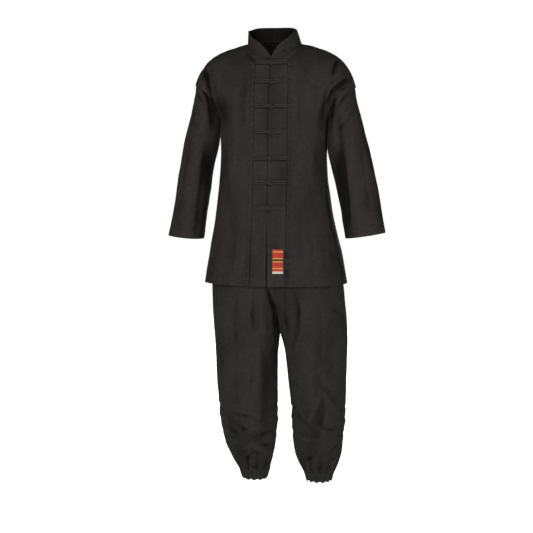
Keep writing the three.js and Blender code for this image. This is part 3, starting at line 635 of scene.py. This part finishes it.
def wrap_map(piece, centre, lean=0.0, front=True):
    """Lays out a piece round an upright line, in metres, so that its weave follows the cloth."""
    mesh = piece.data
    points = coordinates(mesh)
    x = points[:, 0] - centre[0] - lean * (points[:, 2] - centre[2])
    y = points[:, 1] - centre[1]
    angle = np.arctan2(x, -y if front else y)
    radius = np.hypot(x, y).mean()
    loops = numbers(mesh.loops, "vertex_index")
    turn = angle[loops]
    starts = numbers(mesh.polygons, "loop_start")
    first = np.repeat(turn[starts], numbers(mesh.polygons, "loop_total"))
    turn = turn - np.round((turn - first) / (2 * np.pi)) * 2 * np.pi
    layout = np.stack([turn * radius, points[loops, 2]], axis=1)
    mesh.uv_layers.new(name="cloth").data.foreach_set("uv", layout.ravel())


def finish_cloth(piece, node, material, thickness=CLOTH, facing=None):
    """Give a piece its thickness and its material, and its inner side the given darker cotton,
    which is painted shade.
    """
    piece.data.materials.clear()
    piece.data.polygons.foreach_set("material_index", [0] * len(piece.data.polygons))
    piece.data.materials.append(material)
    # the inner side gets the second material: on the jacket a darker copy of the same cotton, as
    # painted shade
    piece.data.materials.append(facing or material)
    apply_modifier(piece, "SOLIDIFY", thickness=thickness, offset=-1, use_even_offset=False,
                   material_offset=1)
    select_only(piece)
    bpy.ops.object.shade_smooth_by_angle(angle=math.radians(50))
    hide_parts(node)
    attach(piece, "root")


# Woven cotton, cord, thread and the label's satin.

def add_node(tree, kind, **settings):
    node = tree.nodes.new("ShaderNode" + kind)
    for key, value in settings.items():
        setattr(node, key, value)
    return node


def set_inputs(node, values):
    for name, value in values.items():
        node.inputs[name].default_value = value


def new_material(name):
    material = bpy.data.materials.new(name)
    material.use_nodes = True
    tree = material.node_tree
    tree.nodes.clear()
    output = add_node(tree, "OutputMaterial")
    shader = add_node(tree, "BsdfPrincipled")
    tree.links.new(shader.outputs["BSDF"], output.inputs["Surface"])
    return material, shader


def math_node(tree, operation, *values):
    node = add_node(tree, "Math", operation=operation)
    for socket, value in zip(node.inputs, values):
        if isinstance(value, (int, float)):
            socket.default_value = value
        else:
            tree.links.new(value, socket)
    return node.outputs[0]


def scaled(tree, colour, factor):
    node = add_node(tree, "VectorMath", operation="SCALE")
    tree.links.new(colour, node.inputs[0])
    tree.links.new(factor, node.inputs["Scale"])
    return node.outputs[0]


def woven_group():
    """Plain weave with uneven threads and a soft mottle: colour, roughness and height."""
    tree = bpy.data.node_groups.new("woven cotton", "ShaderNodeTree")
    for way, name, kind in (("INPUT", "Layout", "Vector"), ("INPUT", "Color", "Color"),
                            ("INPUT", "Thread", "Float"), ("INPUT", "Mottle", "Float"),
                            ("OUTPUT", "Color", "Color"), ("OUTPUT", "Roughness", "Float"),
                            ("OUTPUT", "Height", "Float")):
        tree.interface.new_socket(name, in_out=way, socket_type="NodeSocket" + kind)
    start = tree.nodes.new("NodeGroupInput")
    end = tree.nodes.new("NodeGroupOutput")
    split = add_node(tree, "SeparateXYZ")
    tree.links.new(start.outputs["Layout"], split.inputs[0])
    pitch = math_node(tree, "DIVIDE", math.pi, start.outputs["Thread"])
    across = math_node(tree, "SINE", math_node(tree, "MULTIPLY", split.outputs[0], pitch))
    along = math_node(tree, "SINE", math_node(tree, "MULTIPLY", split.outputs[1], pitch))
    weave = math_node(tree, "ABSOLUTE", math_node(tree, "MULTIPLY", across, along))

    def streaks(scale, stretch):
        mapping = add_node(tree, "Mapping")
        set_inputs(mapping, {"Scale": stretch})
        texture = add_node(tree, "TexNoise")
        set_inputs(texture, {"Scale": scale, "Detail": 3})
        tree.links.new(start.outputs["Layout"], mapping.inputs["Vector"])
        tree.links.new(mapping.outputs[0], texture.inputs["Vector"])
        return texture.outputs[0]

    warp = streaks(420, (1, 0.3, 1))
    weft = streaks(420, (0.3, 1, 1))
    cloud = streaks(90, (1, 1, 1))
    slub = math_node(tree, "ADD", warp, weft)
    mottle = math_node(tree, "ADD", slub, math_node(tree, "MULTIPLY", cloud, 1.2))
    centred = math_node(tree, "SUBTRACT", mottle, 1.6)
    gain = math_node(tree, "MULTIPLY_ADD", centred, start.outputs["Mottle"], 1.0)
    dip = math_node(tree, "MULTIPLY_ADD", weave, 0.24, 0.88)
    tint = scaled(tree, start.outputs["Color"], math_node(tree, "MULTIPLY", gain, dip))
    tree.links.new(tint, end.inputs["Color"])
    rough = math_node(tree, "MULTIPLY_ADD", slub, 0.12, 0.72)
    tree.links.new(rough, end.inputs["Roughness"])
    relief = math_node(tree, "MULTIPLY_ADD", slub, 0.35, weave)
    tree.links.new(relief, end.inputs["Height"])
    return tree


WOVEN = woven_group()


def weave(tree, shader, place, thread, mottle, bump, strength):
    """Adds the woven cotton to a material, laid out by the given place, and returns its node."""
    woven = add_node(tree, "Group", node_tree=WOVEN)
    set_inputs(woven, {"Thread": thread, "Mottle": mottle})
    tree.links.new(place, woven.inputs["Layout"])
    relief = add_node(tree, "Bump")
    set_inputs(relief, {"Distance": bump, "Strength": strength})
    tree.links.new(woven.outputs["Height"], relief.inputs["Height"])
    tree.links.new(relief.outputs[0], shader.inputs["Normal"])
    return woven


def cotton(name, colour, thread=0.0007, layout="cloth"):
    """Cotton; on cloth that has a layout, painted shade in the troughs, along the seams and under
    the frogs, a little painted light on the ridges, and a painted highlight along the edges.
    """
    material, shader = new_material(name)
    tree = material.node_tree
    if layout:
        place = add_node(tree, "UVMap", uv_map=layout).outputs[0]
    else:
        place = add_node(tree, "TexCoord").outputs["Object"]
    woven = weave(tree, shader, place, thread, mottle=0.50, bump=0.00012, strength=0.8)
    set_inputs(woven, {"Color": (*colour, 1)})
    if layout:
        # painted highlight: lighter colour along the piece's edges
        edge = add_node(tree, "Attribute", attribute_name="edge")
        highlighted = add_node(tree, "Mix", data_type="RGBA")
        tree.links.new(math_node(tree, "MULTIPLY", edge.outputs["Fac"], EDGE_HIGHLIGHT), highlighted.inputs[0])
        tree.links.new(woven.outputs["Color"], highlighted.inputs[6])
        highlighted.inputs[7].default_value = (*(HIGHLIGHT_COLOUR * part for part in colour), 1)
        # painted shade: darkens the colour in troughs, along seams and under the frogs, and
        # lightens it a little on ridges
        painted_shade = add_node(tree, "Attribute", attribute_name="painted_shade")
        shade = math_node(tree, "MULTIPLY_ADD", painted_shade.outputs["Fac"], -PAINTED_SHADE_STRENGTH, 1.0)
        tree.links.new(scaled(tree, highlighted.outputs[2], shade), shader.inputs["Base Color"])
    else:
        tree.links.new(woven.outputs["Color"], shader.inputs["Base Color"])
    tree.links.new(woven.outputs["Roughness"], shader.inputs["Roughness"])
    set_inputs(shader, {"Sheen Weight": 0.01, "Sheen Roughness": 0.45, "Specular IOR Level": 0.12})
    return material


COTTON = cotton("black cotton", (0.0260, 0.0222, 0.0210))
# the same black cotton made darker for the jacket's inner side: painted shade
SHADED_INSIDE_COTTON = cotton("black cotton, painted shade inside", (0.0085, 0.0074, 0.0070))
TROUSER_COTTON = cotton("black trouser cotton", (0.0232, 0.0217, 0.0200))
CORD_COTTON = cotton("frog cord cotton", (0.0310, 0.0275, 0.0265), thread=0.0005, layout=None)
THREAD = cotton("sewing thread", (0.0350, 0.0315, 0.0300), thread=0.0004, layout=None)


def label_material():
    """Woven satin label: red ground with gold, dark and pale stripes."""
    material, shader = new_material("woven label")
    tree = material.node_tree
    place = add_node(tree, "UVMap", uv_map="cloth").outputs[0]
    split = add_node(tree, "SeparateXYZ")
    tree.links.new(place, split.inputs[0])
    stripes = add_node(tree, "ValToRGB")
    stripes.color_ramp.interpolation = "CONSTANT"
    red, gold = (0.42, 0.040, 0.018), (0.55, 0.26, 0.07)
    dark, pale = (0.03, 0.022, 0.020), (0.55, 0.50, 0.44)
    bands = [(0.0, pale), (0.09, red), (0.19, gold), (0.24, red), (0.47, gold), (0.52, dark),
             (0.60, gold), (0.65, red), (0.88, gold), (0.93, red)]
    ramp = stripes.color_ramp.elements
    while len(ramp) < len(bands):
        ramp.new(0.5)
    for element, (start, colour) in zip(ramp, bands):
        element.position = start
        element.color = (*colour, 1)
    height = math_node(tree, "DIVIDE", split.outputs[1], LABEL["top"] - LABEL["bottom"])
    tree.links.new(height, stripes.inputs[0])
    woven = weave(tree, shader, place, thread=0.0006, mottle=0.2, bump=0.0001, strength=1)
    tree.links.new(stripes.outputs[0], woven.inputs["Color"])
    tree.links.new(woven.outputs["Color"], shader.inputs["Base Color"])
    set_inputs(shader, {"Roughness": 0.6, "Specular IOR Level": 0.15})
    return material


# The jacket and the trousers.

def underarm(points, normals, inward):
    """How much a point belongs to the sides of body and sleeve that meet under the arm."""
    towards = normals[:, 0] * np.sign(points[:, 0]) * (-1 if inward else 1)
    return np.clip(towards * 1.3, 0, 1) * bell(points[:, 2] - UNDERARM_Z, UNDERARM_REACH)


def jacket_relief(points, normals):
    height = crease_height(points, normals, JACKET_CREASES)
    height += rumple(points, (0.050, 0.050, 0.150), 0.0022)
    height += rumple(points + 3, (0.022, 0.022, 0.045), 0.0008)
    meet = underarm(points, normals, inward=False)
    return (height + puckers(points, normals)) * (1 - meet) + BODY_FULLNESS * meet


def sleeve_relief(points, normals):
    height = crease_height(points, normals, SLEEVE_CREASES)
    height += rumple(points, (0.045, 0.045, 0.110), 0.0024)
    height += rumple(points + 3, (0.022, 0.022, 0.040), 0.0009)
    meet = underarm(points, normals, inward=True)
    fullness = np.where(points[:, 0] > 0, *SLEEVE_FULLNESS)
    return height * (1 - meet) + fullness * meet


def collar_relief(points, normals):
    height = crease_height(points, normals, COLLAR_CREASES)
    return height + rumple(points, (0.02, 0.02, 0.02), 0.0006)


def gather_troughs(points):
    """Folds that deepen between the gathers, towards the ankle bands."""
    side = np.where(points[:, 0] > CROTCH_X, 1, -1)
    middle = np.where(side > 0, *ANKLE_X)
    around = np.arctan2(points[:, 1], side * (points[:, 0] - middle))
    depth = np.clip((GATHERS_Z - points[:, 2]) / GATHERS_HEIGHT, 0, 1)
    return -GATHER_TROUGH * depth * np.clip(-np.cos(GATHERS * around + 0.8), 0, 1)


def trouser_relief(points, normals):
    height = crease_height(points, normals, TROUSER_CREASES)
    height += gather_troughs(points)
    height += rumple(points, (0.060, 0.060, 0.120), 0.0026)
    height += rumple(points + 3, (0.026, 0.026, 0.034), 0.0010)
    return height * np.clip((points[:, 2] - ANKLE_TOP) / HEM_FADE, 0, 1)


def points_of(cloth, names, wanted):
    """Whether each point of a sewn surface belongs to the wanted pieces."""
    belongs = np.zeros(len(cloth.data.vertices), dtype=bool)
    for name in wanted:
        for polygon in faces_of(cloth.data, names.index(name)):
            belongs[list(cloth.data.polygons[polygon].vertices)] = True
    return belongs


jacket_cloth = sewn_surface(JACKET)
on_sleeve = points_of(jacket_cloth, JACKET, ["sleeve_left", "sleeve_right"])
on_collar = points_of(jacket_cloth, JACKET, ["collar"])
jacket_painted_shade = displace(jacket_cloth, lambda points, normals: np.select(
    [on_sleeve, on_collar],
    [sleeve_relief(points, normals), collar_relief(points, normals)],
    jacket_relief(points, normals)), painted_shade_lines)

trouser_cloth = sewn_surface(TROUSERS)
trouser_painted_shade = displace(trouser_cloth, trouser_relief)

jacket_tree = BVHTree.FromPolygons(
    coordinates(jacket_cloth.data).tolist(),
    [list(p.vertices) for p in jacket_cloth.data.polygons])


def front_place(x, z):
    """The point of the jacket's front at x and z, and its outward direction."""
    point, normal, _, _ = jacket_tree.ray_cast(Vector((x, -0.4, z)), Vector((0, 1, 0)))
    if normal.y > 0:
        normal = -normal
    return point, normal


# What the weave of a piece is laid out round: a point, its lean, and whether the piece is in front.
# The other pieces are in front, round the middle of the body.
BODY = ((0, 0, 0), 0)
LEFT_LEG, RIGHT_LEG = ((0.137, 0, -1), 0), ((-0.087, 0, -1), 0)
CENTRES = {
    "jacket_back": (*BODY, False),
    "collar": ((-0.006, -0.01, 0), 0, True),
    "sleeve_left": ((0.226, 0, -0.28), -0.16, True),
    "sleeve_right": ((-0.226, 0, -0.28), 0.13, True),
    "trouser_front_left": (*LEFT_LEG, True),
    "trouser_front_right": (*RIGHT_LEG, True),
    "trouser_back_left": (*LEFT_LEG, False),
    "trouser_back_right": (*RIGHT_LEG, False),
}

pieces = {}
cloth_rims = {}
for cloth, names, painted_shades in ((jacket_cloth, JACKET, jacket_painted_shade),
                              (trouser_cloth, TROUSERS, trouser_painted_shade)):
    for index, name in enumerate(names):
        piece = take_piece(cloth, index, name + "_cloth", painted_shades)
        centre, lean, front = CENTRES.get(name, (*BODY, True))
        wrap_map(piece, centre, lean, front)
        mark_edges(piece)
        pieces[name] = piece
        cloth_rims[name] = open_loops(piece.data)
        if names is JACKET:
            finish_cloth(piece, name, COTTON, facing=SHADED_INSIDE_COTTON)
        else:
            finish_cloth(piece, name, TROUSER_COTTON)
    bpy.data.objects.remove(cloth)


def plain_piece(node):
    """An elastic band, divided and rumpled by itself."""
    mesh = outer_ring(node)
    piece = add_object(node + "_cloth", mesh)
    divide(piece)
    displace(piece, lambda points, normals: rumple(points, (0.03, 0.03, 0.03), 0.0004))
    low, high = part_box(node)
    wrap_map(piece, (low + high) / 2)
    mark_edges(piece)
    pieces[node] = piece
    finish_cloth(piece, node, TROUSER_COTTON)


for node in ("waistband", "ankle_band_left", "ankle_band_right"):
    plain_piece(node)


# The seven frogs: straps of cord and a plaited ball knot.

def tube(name, paths, radius, material, closed=False, sides=5):
    """Cords along the given paths, as one mesh."""
    curve = bpy.data.curves.new(name, "CURVE")
    curve.dimensions = "3D"
    curve.bevel_depth = radius
    curve.bevel_resolution = sides
    curve.use_fill_caps = True
    for path in paths:
        spline = curve.splines.new("POLY")
        spline.points.add(len(path) - 1)
        for point, place in zip(spline.points, path):
            point.co = (*place, 1)
        spline.use_cyclic_u = closed
    cord = add_object(name, curve)
    select_only(cord)
    bpy.ops.object.convert(target="MESH")
    cord.data.materials.clear()
    cord.data.materials.append(material)
    select_only(cord)
    bpy.ops.object.shade_smooth()
    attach(cord, "root")
    return cord


def cord_path(places):
    path = []
    for x, z in places:
        point, normal = front_place(x, z)
        path.append(point + normal * CORD_LIFT)
    return path


def knot_strap(knot_x, end, z):
    """Two cords side by side, from the band seam to the neck of the knot."""
    start = knot_x - KNOT_RADIUS - STRAP_GAP
    paths = []
    for side in (1, -1):
        places = [(end + (start - end) * t, z + side * CORD) for t in np.linspace(0, 0.8, 10)]
        places.append((start, z + side * CORD * 0.7))
        places.append((start + 0.003, z + side * CORD * 0.3))
        paths.append(cord_path(places))
    return paths


def loop_strap(knot_x, end, z, slope):
    """One cord from the band seam round the knot and back, lying side by side with itself."""
    loop = KNOT_RADIUS + LOOP_GAP
    start = knot_x + loop * 1.25
    out = np.linspace(end, start, 10)

    def drop(x):
        return slope * (x - knot_x)

    places = [(x, z + CORD + drop(x)) for x in out]
    places += [(knot_x + loop * math.cos(angle), z + loop * math.sin(angle))
               for angle in np.linspace(math.radians(55), math.radians(305), 13)]
    places += [(x, z - CORD + drop(x)) for x in out[::-1]]
    return [cord_path(places)]


def knot_path(centre, radius):
    """A cord plaited round a ball: it crosses itself over and under."""
    points, turns, waves, slant, over = 120, 3, 5, math.radians(58), 0.10
    path = []
    for k in range(points):
        t = 2 * math.pi * k / points
        turn = turns * t
        height = slant * math.sin(waves * t)
        distance = radius * (1 + over * math.cos(2 * waves * t + 0.4))
        path.append(centre + distance * Vector((
            math.cos(height) * math.cos(turn), -math.sin(height),
            math.cos(height) * math.sin(turn))))
    return path


on_pieces = {"front_band_left": [], "front_band_right": []}
for number, z in enumerate(FROG_Z, start=1):
    knot_x = float(np.interp(z, FRONT_Z, KNOT_X))
    for side, word in ((1, "left"), (-1, "right")):
        end = float(band_seam(side, z)) - side * STRAP_GAP
        if side > 0:
            paths = loop_strap(knot_x, end, z, LOOP_SLOPES[number - 1])
        else:
            paths = knot_strap(knot_x, end, z)
        strap = tube(f"frog_{number}_cord_{word}", paths, CORD, CORD_COTTON)
        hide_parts(f"frog_{number}_strap_{word}")
        on_pieces[f"front_band_{word}"].append(strap)
    point, normal = front_place(knot_x, z)
    knot = tube(f"frog_{number}_ball_knot", [knot_path(point + normal * KNOT_RADIUS, PLAIT)],
                PLAIT_CORD, CORD_COTTON, closed=True, sides=3)
    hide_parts(f"frog_{number}_knot")
    on_pieces["front_band_right"].append(knot)


# Rows of stitches.

STITCH = 0.0030             # length of a stitch
STITCH_PITCH = 0.0044       # from one stitch to the next
STITCH_RADIUS = 0.00042
HEM_TURN = 0.020            # turned-up hems are stitched this far from the edge
BESIDE_LAP = 0.004          # and the lap and the opening below it, this far


def stitch_shape():
    """One stitch along X: a spindle with few faces."""
    bpy.ops.object.select_all(action="DESELECT")
    bpy.ops.mesh.primitive_uv_sphere_add(segments=5, ring_count=4, radius=1)
    stitch = bpy.context.object
    bpy.ops.transform.resize(value=(STITCH / 2, STITCH_RADIUS, STITCH_RADIUS))
    bpy.ops.object.transform_apply(location=False, rotation=False, scale=True)
    points = coordinates(stitch.data)
    faces = [list(polygon.vertices) for polygon in stitch.data.polygons]
    bpy.data.objects.remove(stitch)
    return points, faces


STITCH_POINTS, STITCH_FACES = stitch_shape()


def stitch_rows(name, rows, surface):
    """Even stitches along rows of points, each snapped to the cloth."""
    points, faces = [], []
    for row in rows:
        lengths = [0.0]
        for a, b in zip(row, row[1:]):
            lengths.append(lengths[-1] + (b - a).length)
        row = np.array([list(point) for point in row])
        for place in np.arange(STITCH, lengths[-1] - STITCH, STITCH_PITCH):
            here = [np.interp(place, lengths, row[:, k]) for k in range(3)]
            ahead = [np.interp(place + 0.001, lengths, row[:, k]) for k in range(3)]
            point, normal, _, _ = surface.find_nearest(Vector(here))
            along = Vector(ahead) - Vector(here)
            along = (along - normal * along.dot(normal)).normalized()
            axes = np.array([along, normal.cross(along), normal])
            faces += [[corner + len(points) for corner in face] for face in STITCH_FACES]
            points += (STITCH_POINTS @ axes + np.array(point)).tolist()
    mesh = bpy.data.meshes.new(name)
    mesh.from_pydata(points, [], faces)
    mesh.materials.append(THREAD)
    stitches = add_object(name, mesh)
    select_only(stitches)
    bpy.ops.object.shade_smooth()
    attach(stitches, "root")
    return stitches


def front_row(line_x, top):
    """Points down the front, along a line given as x at each height, as far as the hem."""
    return [front_place(float(line_x(z)), z)[0] for z in np.linspace(top, HEM_Z + 0.004, 60)]


def opening_half(z):
    """Half the width by which the fronts part below the last frog."""
    return 0.003 * max((OPENING_TOP - z) / (OPENING_TOP - HEM_Z), 0)


band_stitches = stitch_rows("band_stitches", [
    front_row(lambda z: band_seam(1, z) + BESIDE_SEAM[1], -0.062),
    front_row(lambda z: band_seam(-1, z) - BESIDE_SEAM[-1], -0.058),
    front_row(lambda z: band_seam(1, z) - 0.002, -0.062),
    front_row(lambda z: band_seam(-1, z) + 0.002, -0.062),
    front_row(lambda z: lap_x(z) + opening_half(z) + BESIDE_LAP, -0.072),
    front_row(lambda z: lap_x(z) - opening_half(z) - BESIDE_LAP, -0.530),
], jacket_tree)
on_pieces["front_band_left"].append(band_stitches)


for name, turn in (("sleeve_left", Vector((-0.0050, 0, HEM_TURN))),
                   ("sleeve_right", Vector((0.0044, 0, HEM_TURN)))):
    cuff = min(cloth_rims[name], key=lambda loop: sum(point.z for point in loop) / len(loop))
    row = [point + turn for point in cuff + cuff[:1]]
    on_pieces[name] = [stitch_rows(name + "_cuff_stitches", [row], jacket_tree)]

hem = [point + Vector((0, 0, HEM_TURN)) for name in JACKET[:5] for loop in cloth_rims[name]
       for point in loop if point.z < HEM_Z + 0.008]
hem.sort(key=lambda point: math.atan2(point.x, point.y))
hem_stitches = stitch_rows("hem_stitches", [hem], jacket_tree)


# The woven label on the left band.

def woven_label():
    rows, columns = 25, 13
    left = LABEL["inner"]
    points, layout, faces = [], [], []
    for j in range(rows):
        z = LABEL["bottom"] + (LABEL["top"] - LABEL["bottom"]) * j / (rows - 1)
        for i in range(columns):
            x = left + LABEL["width"] * i / (columns - 1)
            point, normal = front_place(x, z)
            points.append(point + normal * LABEL["lift"])
            layout.append((x - left, z - LABEL["bottom"]))
    for j in range(rows - 1):
        for i in range(columns - 1):
            a = j * columns + i
            faces.append([a, a + 1, a + 1 + columns, a + columns])
    mesh = bpy.data.meshes.new("woven_label")
    mesh.from_pydata([tuple(p) for p in points], [], faces)
    layer = mesh.uv_layers.new(name="cloth")
    for loop in mesh.loops:
        layer.data[loop.index].uv = layout[loop.vertex_index]
    label = add_object("woven_label", mesh)
    finish_cloth(label, "label", label_material(), thickness=LABEL["thickness"])
    return label


label = woven_label()

# The cut of each piece: its width and length, its flat area, how it is held, and from what.
CUTS = {
    "jacket_back": (0.610, 0.760, 0.395, "hung", ["collar"]),
    "jacket_front_left": (0.250, 0.745, 0.155, "hung", ["jacket_back"]),
    "jacket_front_right": (0.250, 0.745, 0.159, "hung", ["jacket_back"]),
    "front_band_left": (0.062, 0.705, 0.041, "hung", ["jacket_front_left"]),
    "front_band_right": (0.054, 0.700, 0.0333, "hung", ["jacket_front_right"]),
    "sleeve_left": (0.400, 0.500, 0.161, "hung", ["jacket_back", "jacket_front_left"]),
    "sleeve_right": (0.400, 0.500, 0.161, "hung", ["jacket_back", "jacket_front_right"]),
    "collar": (0.500, 0.050, 0.0216, "stretched", ["jacket_back"]),
    "trouser_front_left": (0.310, 0.830, 0.224, "hung", ["waistband"]),
    "trouser_front_right": (0.310, 0.830, 0.227, "hung", ["waistband"]),
    "trouser_back_left": (0.310, 0.830, 0.224, "hung", ["waistband"]),
    "trouser_back_right": (0.310, 0.830, 0.225, "hung", ["waistband"]),
    "waistband": (0.900, 0.040, 0.0351, "gathered", []),
    "ankle_band_left": (0.300, 0.032, 0.0087, "gathered", ["trouser_front_left"]),
    "ankle_band_right": (0.300, 0.032, 0.0087, "gathered", ["trouser_front_right"]),
}
on_pieces["jacket_back"] = [hem_stitches]
for name, (width, length, area, held, above) in CUTS.items():
    [pieces[other] for other in above]
    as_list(on_pieces.get(name, []))


# Floor, backdrop, light and camera.

FLOOR_Z = -1.47
FLOOR_GLOW = 0.97           # as the camera sees the floor, beyond what the lamps add
BACKDROP_GLOW = 0.95        # as the camera sees the backdrop, beyond what it lights
BACKDROP_LIGHT = 0.05       # how much it lights the cloth

def aim_at(obj, place, target):
    obj.location = place
    obj.rotation_euler = (Vector(target) - obj.location).to_track_quat("-Z", "Y").to_euler()


def area_light(name, place, target, size, power):
    light = bpy.data.lights.new(name, "AREA")
    light.shape = "DISK"
    light.size = size
    light.energy = power
    aim_at(add_object(name, light), place, target)


bpy.ops.object.select_all(action="DESELECT")
bpy.ops.mesh.primitive_plane_add(size=60, location=(0, 0, FLOOR_Z))
floor = bpy.context.object
floor.name = "floor"
floor_material, floor_shader = new_material("pale floor")
set_inputs(floor_shader, {"Base Color": (0.80, 0.80, 0.80, 1), "Emission Color": (1, 1, 1, 1),
                          "Roughness": 0.9})
floor_tree = floor_material.node_tree
floor_seen = add_node(floor_tree, "LightPath").outputs["Is Camera Ray"]
floor_tree.links.new(math_node(floor_tree, "MULTIPLY", floor_seen, FLOOR_GLOW),
                     floor_shader.inputs["Emission Strength"])
floor.data.materials.append(floor_material)

world = bpy.data.worlds.new("studio")
world.use_nodes = True
sky = world.node_tree
backdrop = sky.nodes["Background"]
set_inputs(backdrop, {"Color": (1, 1, 1, 1)})
seen = add_node(sky, "LightPath").outputs["Is Camera Ray"]
brightness = math_node(sky, "MULTIPLY_ADD", seen, BACKDROP_GLOW, BACKDROP_LIGHT)
sky.links.new(brightness, backdrop.inputs["Strength"])
bpy.context.scene.world = world
bpy.context.scene.view_settings.view_transform = "Standard"

area_light("key", (-0.3, -3.9, 0.6), (0, 0, -0.6), 0.6, 71)
area_light("low fill", (0.3, -3.7, -1.1), (0, 0, -0.9), 1.0, 37)
area_light("left softbox", (3.4, -2.2, -0.5), (0, 0, -0.7), 0.7, 34)
area_light("right softbox", (-3.4, -2.2, -0.5), (0, 0, -0.7), 0.7, 22)
area_light("back fill", (0.3, 3.9, 0.2), (0, 0, -0.7), 1.6, 90)

camera_data = bpy.data.cameras.new("camera")
camera_data.lens = 81.48
camera_data.sensor_width = 36
camera = add_object("camera", camera_data)
aim_at(camera, (0.5646, -3.7327, -0.2938), (-0.0266, 0, -0.6910))
bpy.context.scene.camera = camera
